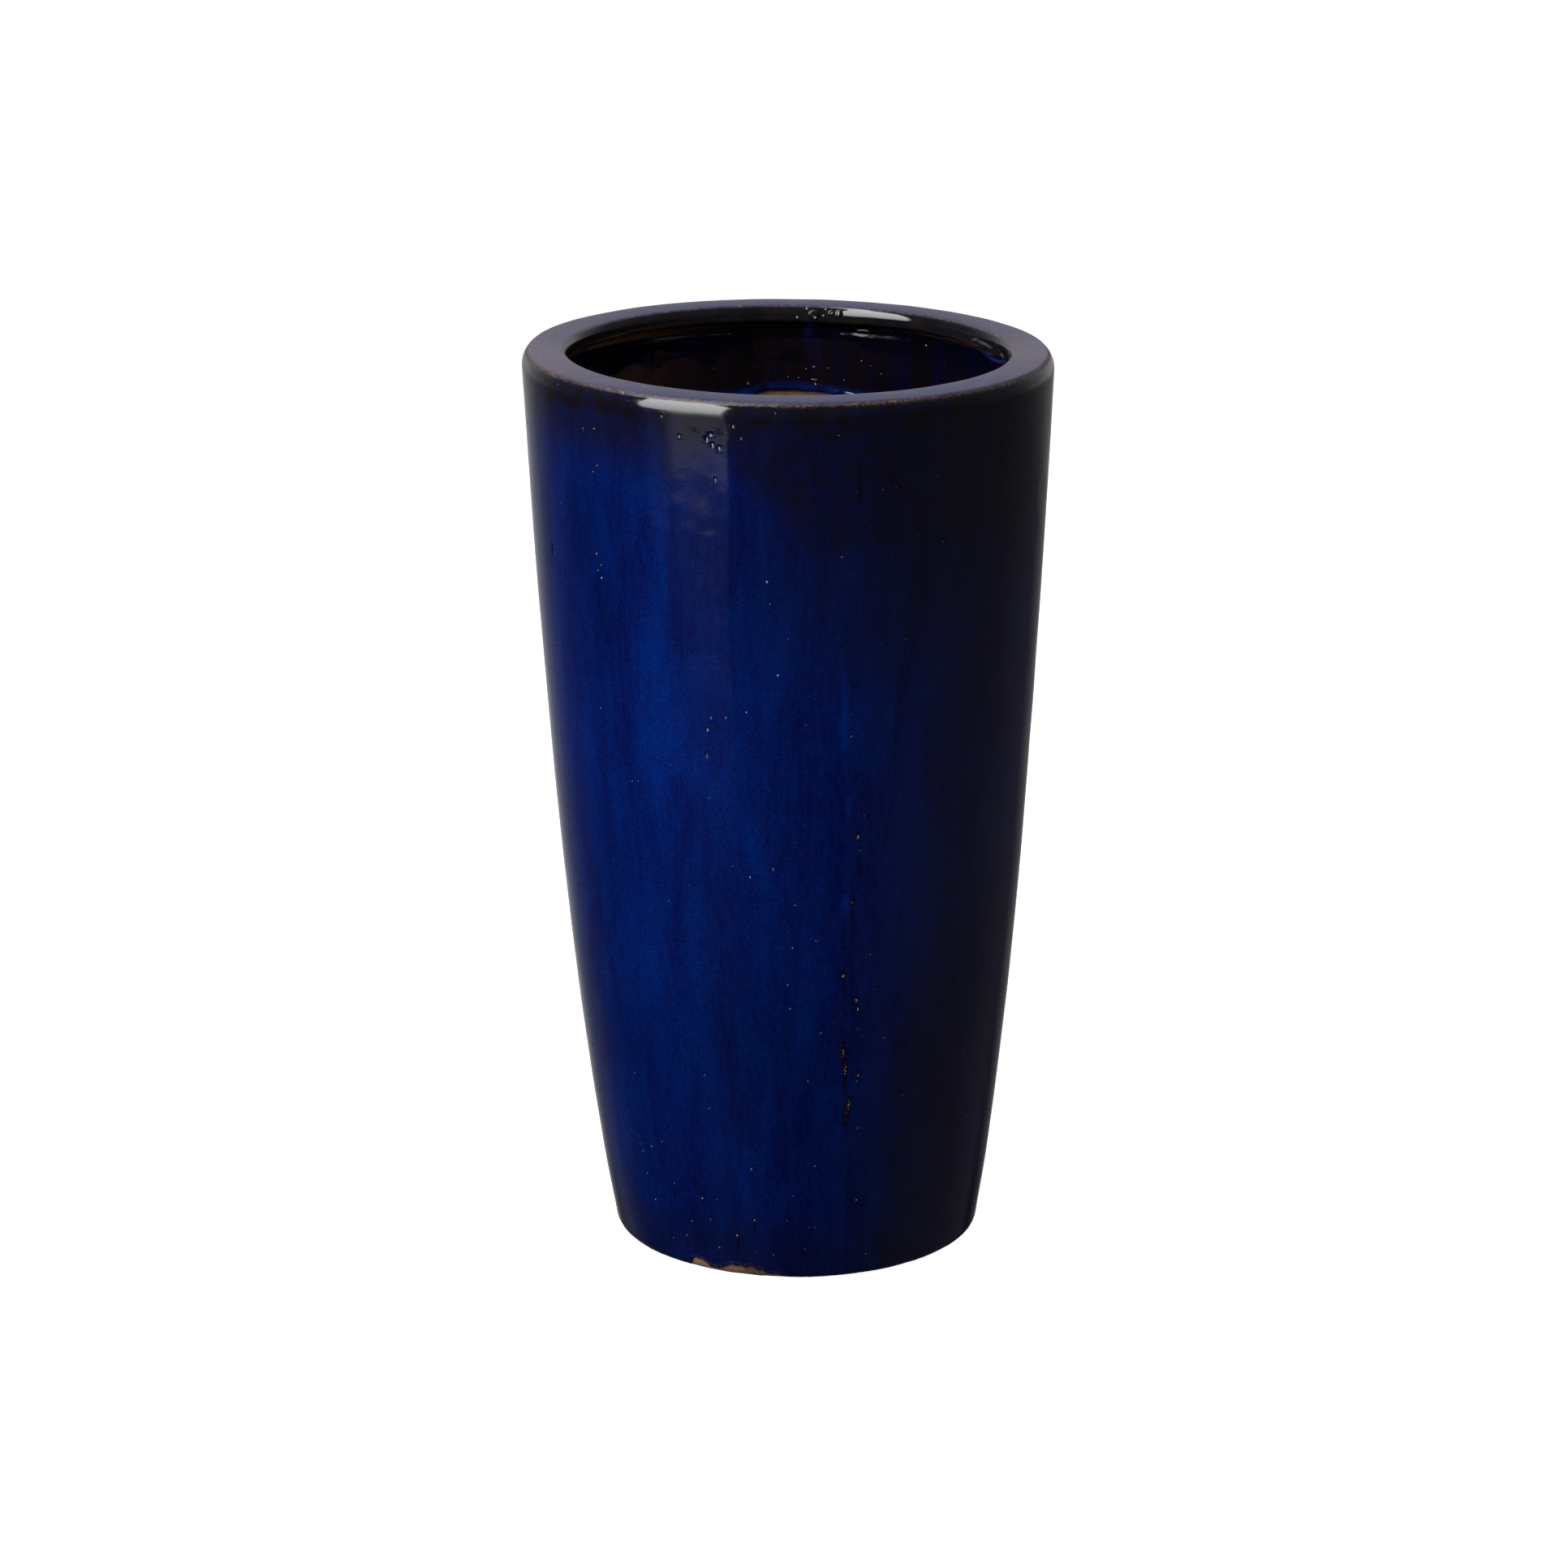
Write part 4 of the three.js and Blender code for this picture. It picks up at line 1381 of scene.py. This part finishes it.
# What the glaze reflects low down and high up, as light or colour at azimuths from the camera's side.
SEEN_LOW = (
    *((-180, 0.60), (-160, 0.31), (-144, 0.15), (-128, 0.055), (-112, 0.02), (-100, 0.006), (-70, 0.004)),
    *((20, 0.006), (48, (0.050, 0.046, 0.044)), (75, (0.090, 0.080, 0.078)), (130, (0.070, 0.063, 0.062))),
    *((145, (0.056, 0.052, 0.053)), (165, 0.15), (180, 0.60)),
)
SEEN_HIGH = (
    *((-180, (0.34, 0.34, 0.36)), (-166, (0.42, 0.42, 0.44)), (-150, (0.60, 0.59, 0.60)), (-118, 0.09)),
    *((-95, 0.015), (-60, 0.012), (30, 0.012), (75, 0.07), (118, 0.16), (150, (0.60, 0.59, 0.60))),
    *((166, (0.42, 0.42, 0.44)), (180, (0.34, 0.34, 0.36))),
)
# How bright the softbox is at elevations.
SOFTBOX_LEVELS = (
    *((-28, 0.015), (-24.4, 0.03), (-21.5, 0.09), (-19.1, 0.14), (-18.1, 0.24), (-17.9, 0.80), (-14, 0.85)),
    *((-9, 1.5), (-3, 2.8), (2, 5.6), (8, 8.6), (15, 10.8), (30, 13.6), (50, 15.8), (75, 17.8), (84, 0.3)),
)
SOFTBOX_TOP = 18.0
SOFTBOX_LEFT, SOFTBOX_RIGHT = -66, (-27.8, -26.2)


def surroundings():
    """A white backdrop for the camera, and a dim studio for light and reflections."""
    world = bpy.data.worlds.new("studio")
    bpy.context.scene.world = world
    world.use_nodes = True
    n = Nodes(world.node_tree)
    direction = n.new("ShaderNodeTexCoord").outputs["Generated"]
    ahead = n.vector("DOT_PRODUCT", direction, tuple(towards(0, 0)))
    aside = n.vector("DOT_PRODUCT", direction, tuple(towards(90, 0)))
    around = n.math("ARCTAN2", aside, ahead)
    around = n.times_plus(around, 0.5 / math.pi, 0.5)
    rise = n.new("ShaderNodeSeparateXYZ", {0: direction}).outputs[2]

    def at(azimuth):
        return azimuth / 360.0 + 0.5

    low = n.ramp(around, [(at(azimuth), colour) for azimuth, colour in SEEN_LOW])
    high = n.ramp(around, [(at(azimuth), colour) for azimuth, colour in SEEN_HIGH])
    sky = n.between(rise, -0.28, -0.05)
    rear = n.ramp(around, [(at(-152), 1.0), (at(-136), 0.0), (at(134), 0.0), (at(146), 1.0)])
    fall = n.between(rise, -0.46, -0.34, 0.24, 1.0)
    shared = n.mix(rear, (1.0, 1.0, 1.0), n.grey(fall))
    low = n.mix(1.0, low, shared, "MULTIPLY")
    glossy = n.mix(sky, low, high)
    glossy = n.mix(n.between(rise, 0.90, 0.97), glossy, (0.30, 0.30, 0.32))

    # The softbox, seen only in reflections: bright above, fading to a hard lower edge.
    stops = [(math.sin(math.radians(e)) / 2 + 0.5, level / SOFTBOX_TOP) for e, level in SOFTBOX_LEVELS]
    strip = n.ramp(n.times_plus(rise, 0.5, 0.5), stops)
    flare = n.times_plus(n.math("MAXIMUM", rise, 0.0), 14.6 / 360, around)
    soft_left = n.between(rise, -0.318, -0.306, at(-36), at(-62))
    across = n.between(flare, at(SOFTBOX_LEFT), soft_left)
    tuck = n.times_plus(n.between(rise, 0.60, 0.96), 24 / 360, around)
    right_edge = n.between(tuck, *(at(azimuth) for azimuth in SOFTBOX_RIGHT), 1.0, 0.0)
    across = n.times(across, right_edge)
    # Low down its left end is dim, so that the pot keeps a dark edge when seen from the side.
    inward = n.between(around, at(-58), at(-48))
    above = n.between(rise, 0.035, 0.075)
    below = n.between(rise, -0.312, -0.306, 1.0, 0.0)
    kept = n.math("MAXIMUM", inward, n.math("MAXIMUM", above, below))
    across = n.times(across, n.times_plus(kept, 0.88, 0.12))
    strip = n.mix(across, (0.0, 0.0, 0.0), strip)
    scaled = n.new("ShaderNodeVectorMath", {0: strip, "Scale": SOFTBOX_TOP}, operation="SCALE")
    glossy = n.vector("ADD", glossy, scaled.outputs[0])
    path = n.new("ShaderNodeLightPath")
    light = n.mix(path.outputs["Is Glossy Ray"], (0.165, 0.165, 0.175), glossy)
    light = n.mix(path.outputs["Is Camera Ray"], light, (1.0, 1.0, 1.0))
    background = n.new("ShaderNodeBackground", {"Color": light, "Strength": 1.0})
    n.new("ShaderNodeOutputWorld", {"Surface": background.outputs[0]})


studio_floor()
surroundings()
area_light("key_softbox", -46, 45, 1.75, 3.4, 225)
area_light("back_fill", 178, 30, 1.6, 2.0, 60)
area_light("side_fill", 126, 22, 1.4, 2.0, 48)

camera_data = bpy.data.cameras.new("camera")
camera_data.lens = CAMERA_LENS
camera_data.sensor_width = 36.0
camera_data.clip_end = 100.0
camera = bpy.data.objects.new("camera", camera_data)
bpy.context.scene.collection.objects.link(camera)
place = (CAMERA_ASIDE * RIGHT - CAMERA_DISTANCE * FORWARD) * MM
camera.location = (place[0], place[1], CAMERA_HEIGHT * MM)
camera.rotation_euler = (math.radians(90 - CAMERA_PITCH), 0, math.radians(CAMERA_AZIMUTH))
bpy.context.scene.camera = camera

bpy.context.scene.view_settings.view_transform = "Standard"
bpy.context.scene.view_settings.look = "None"
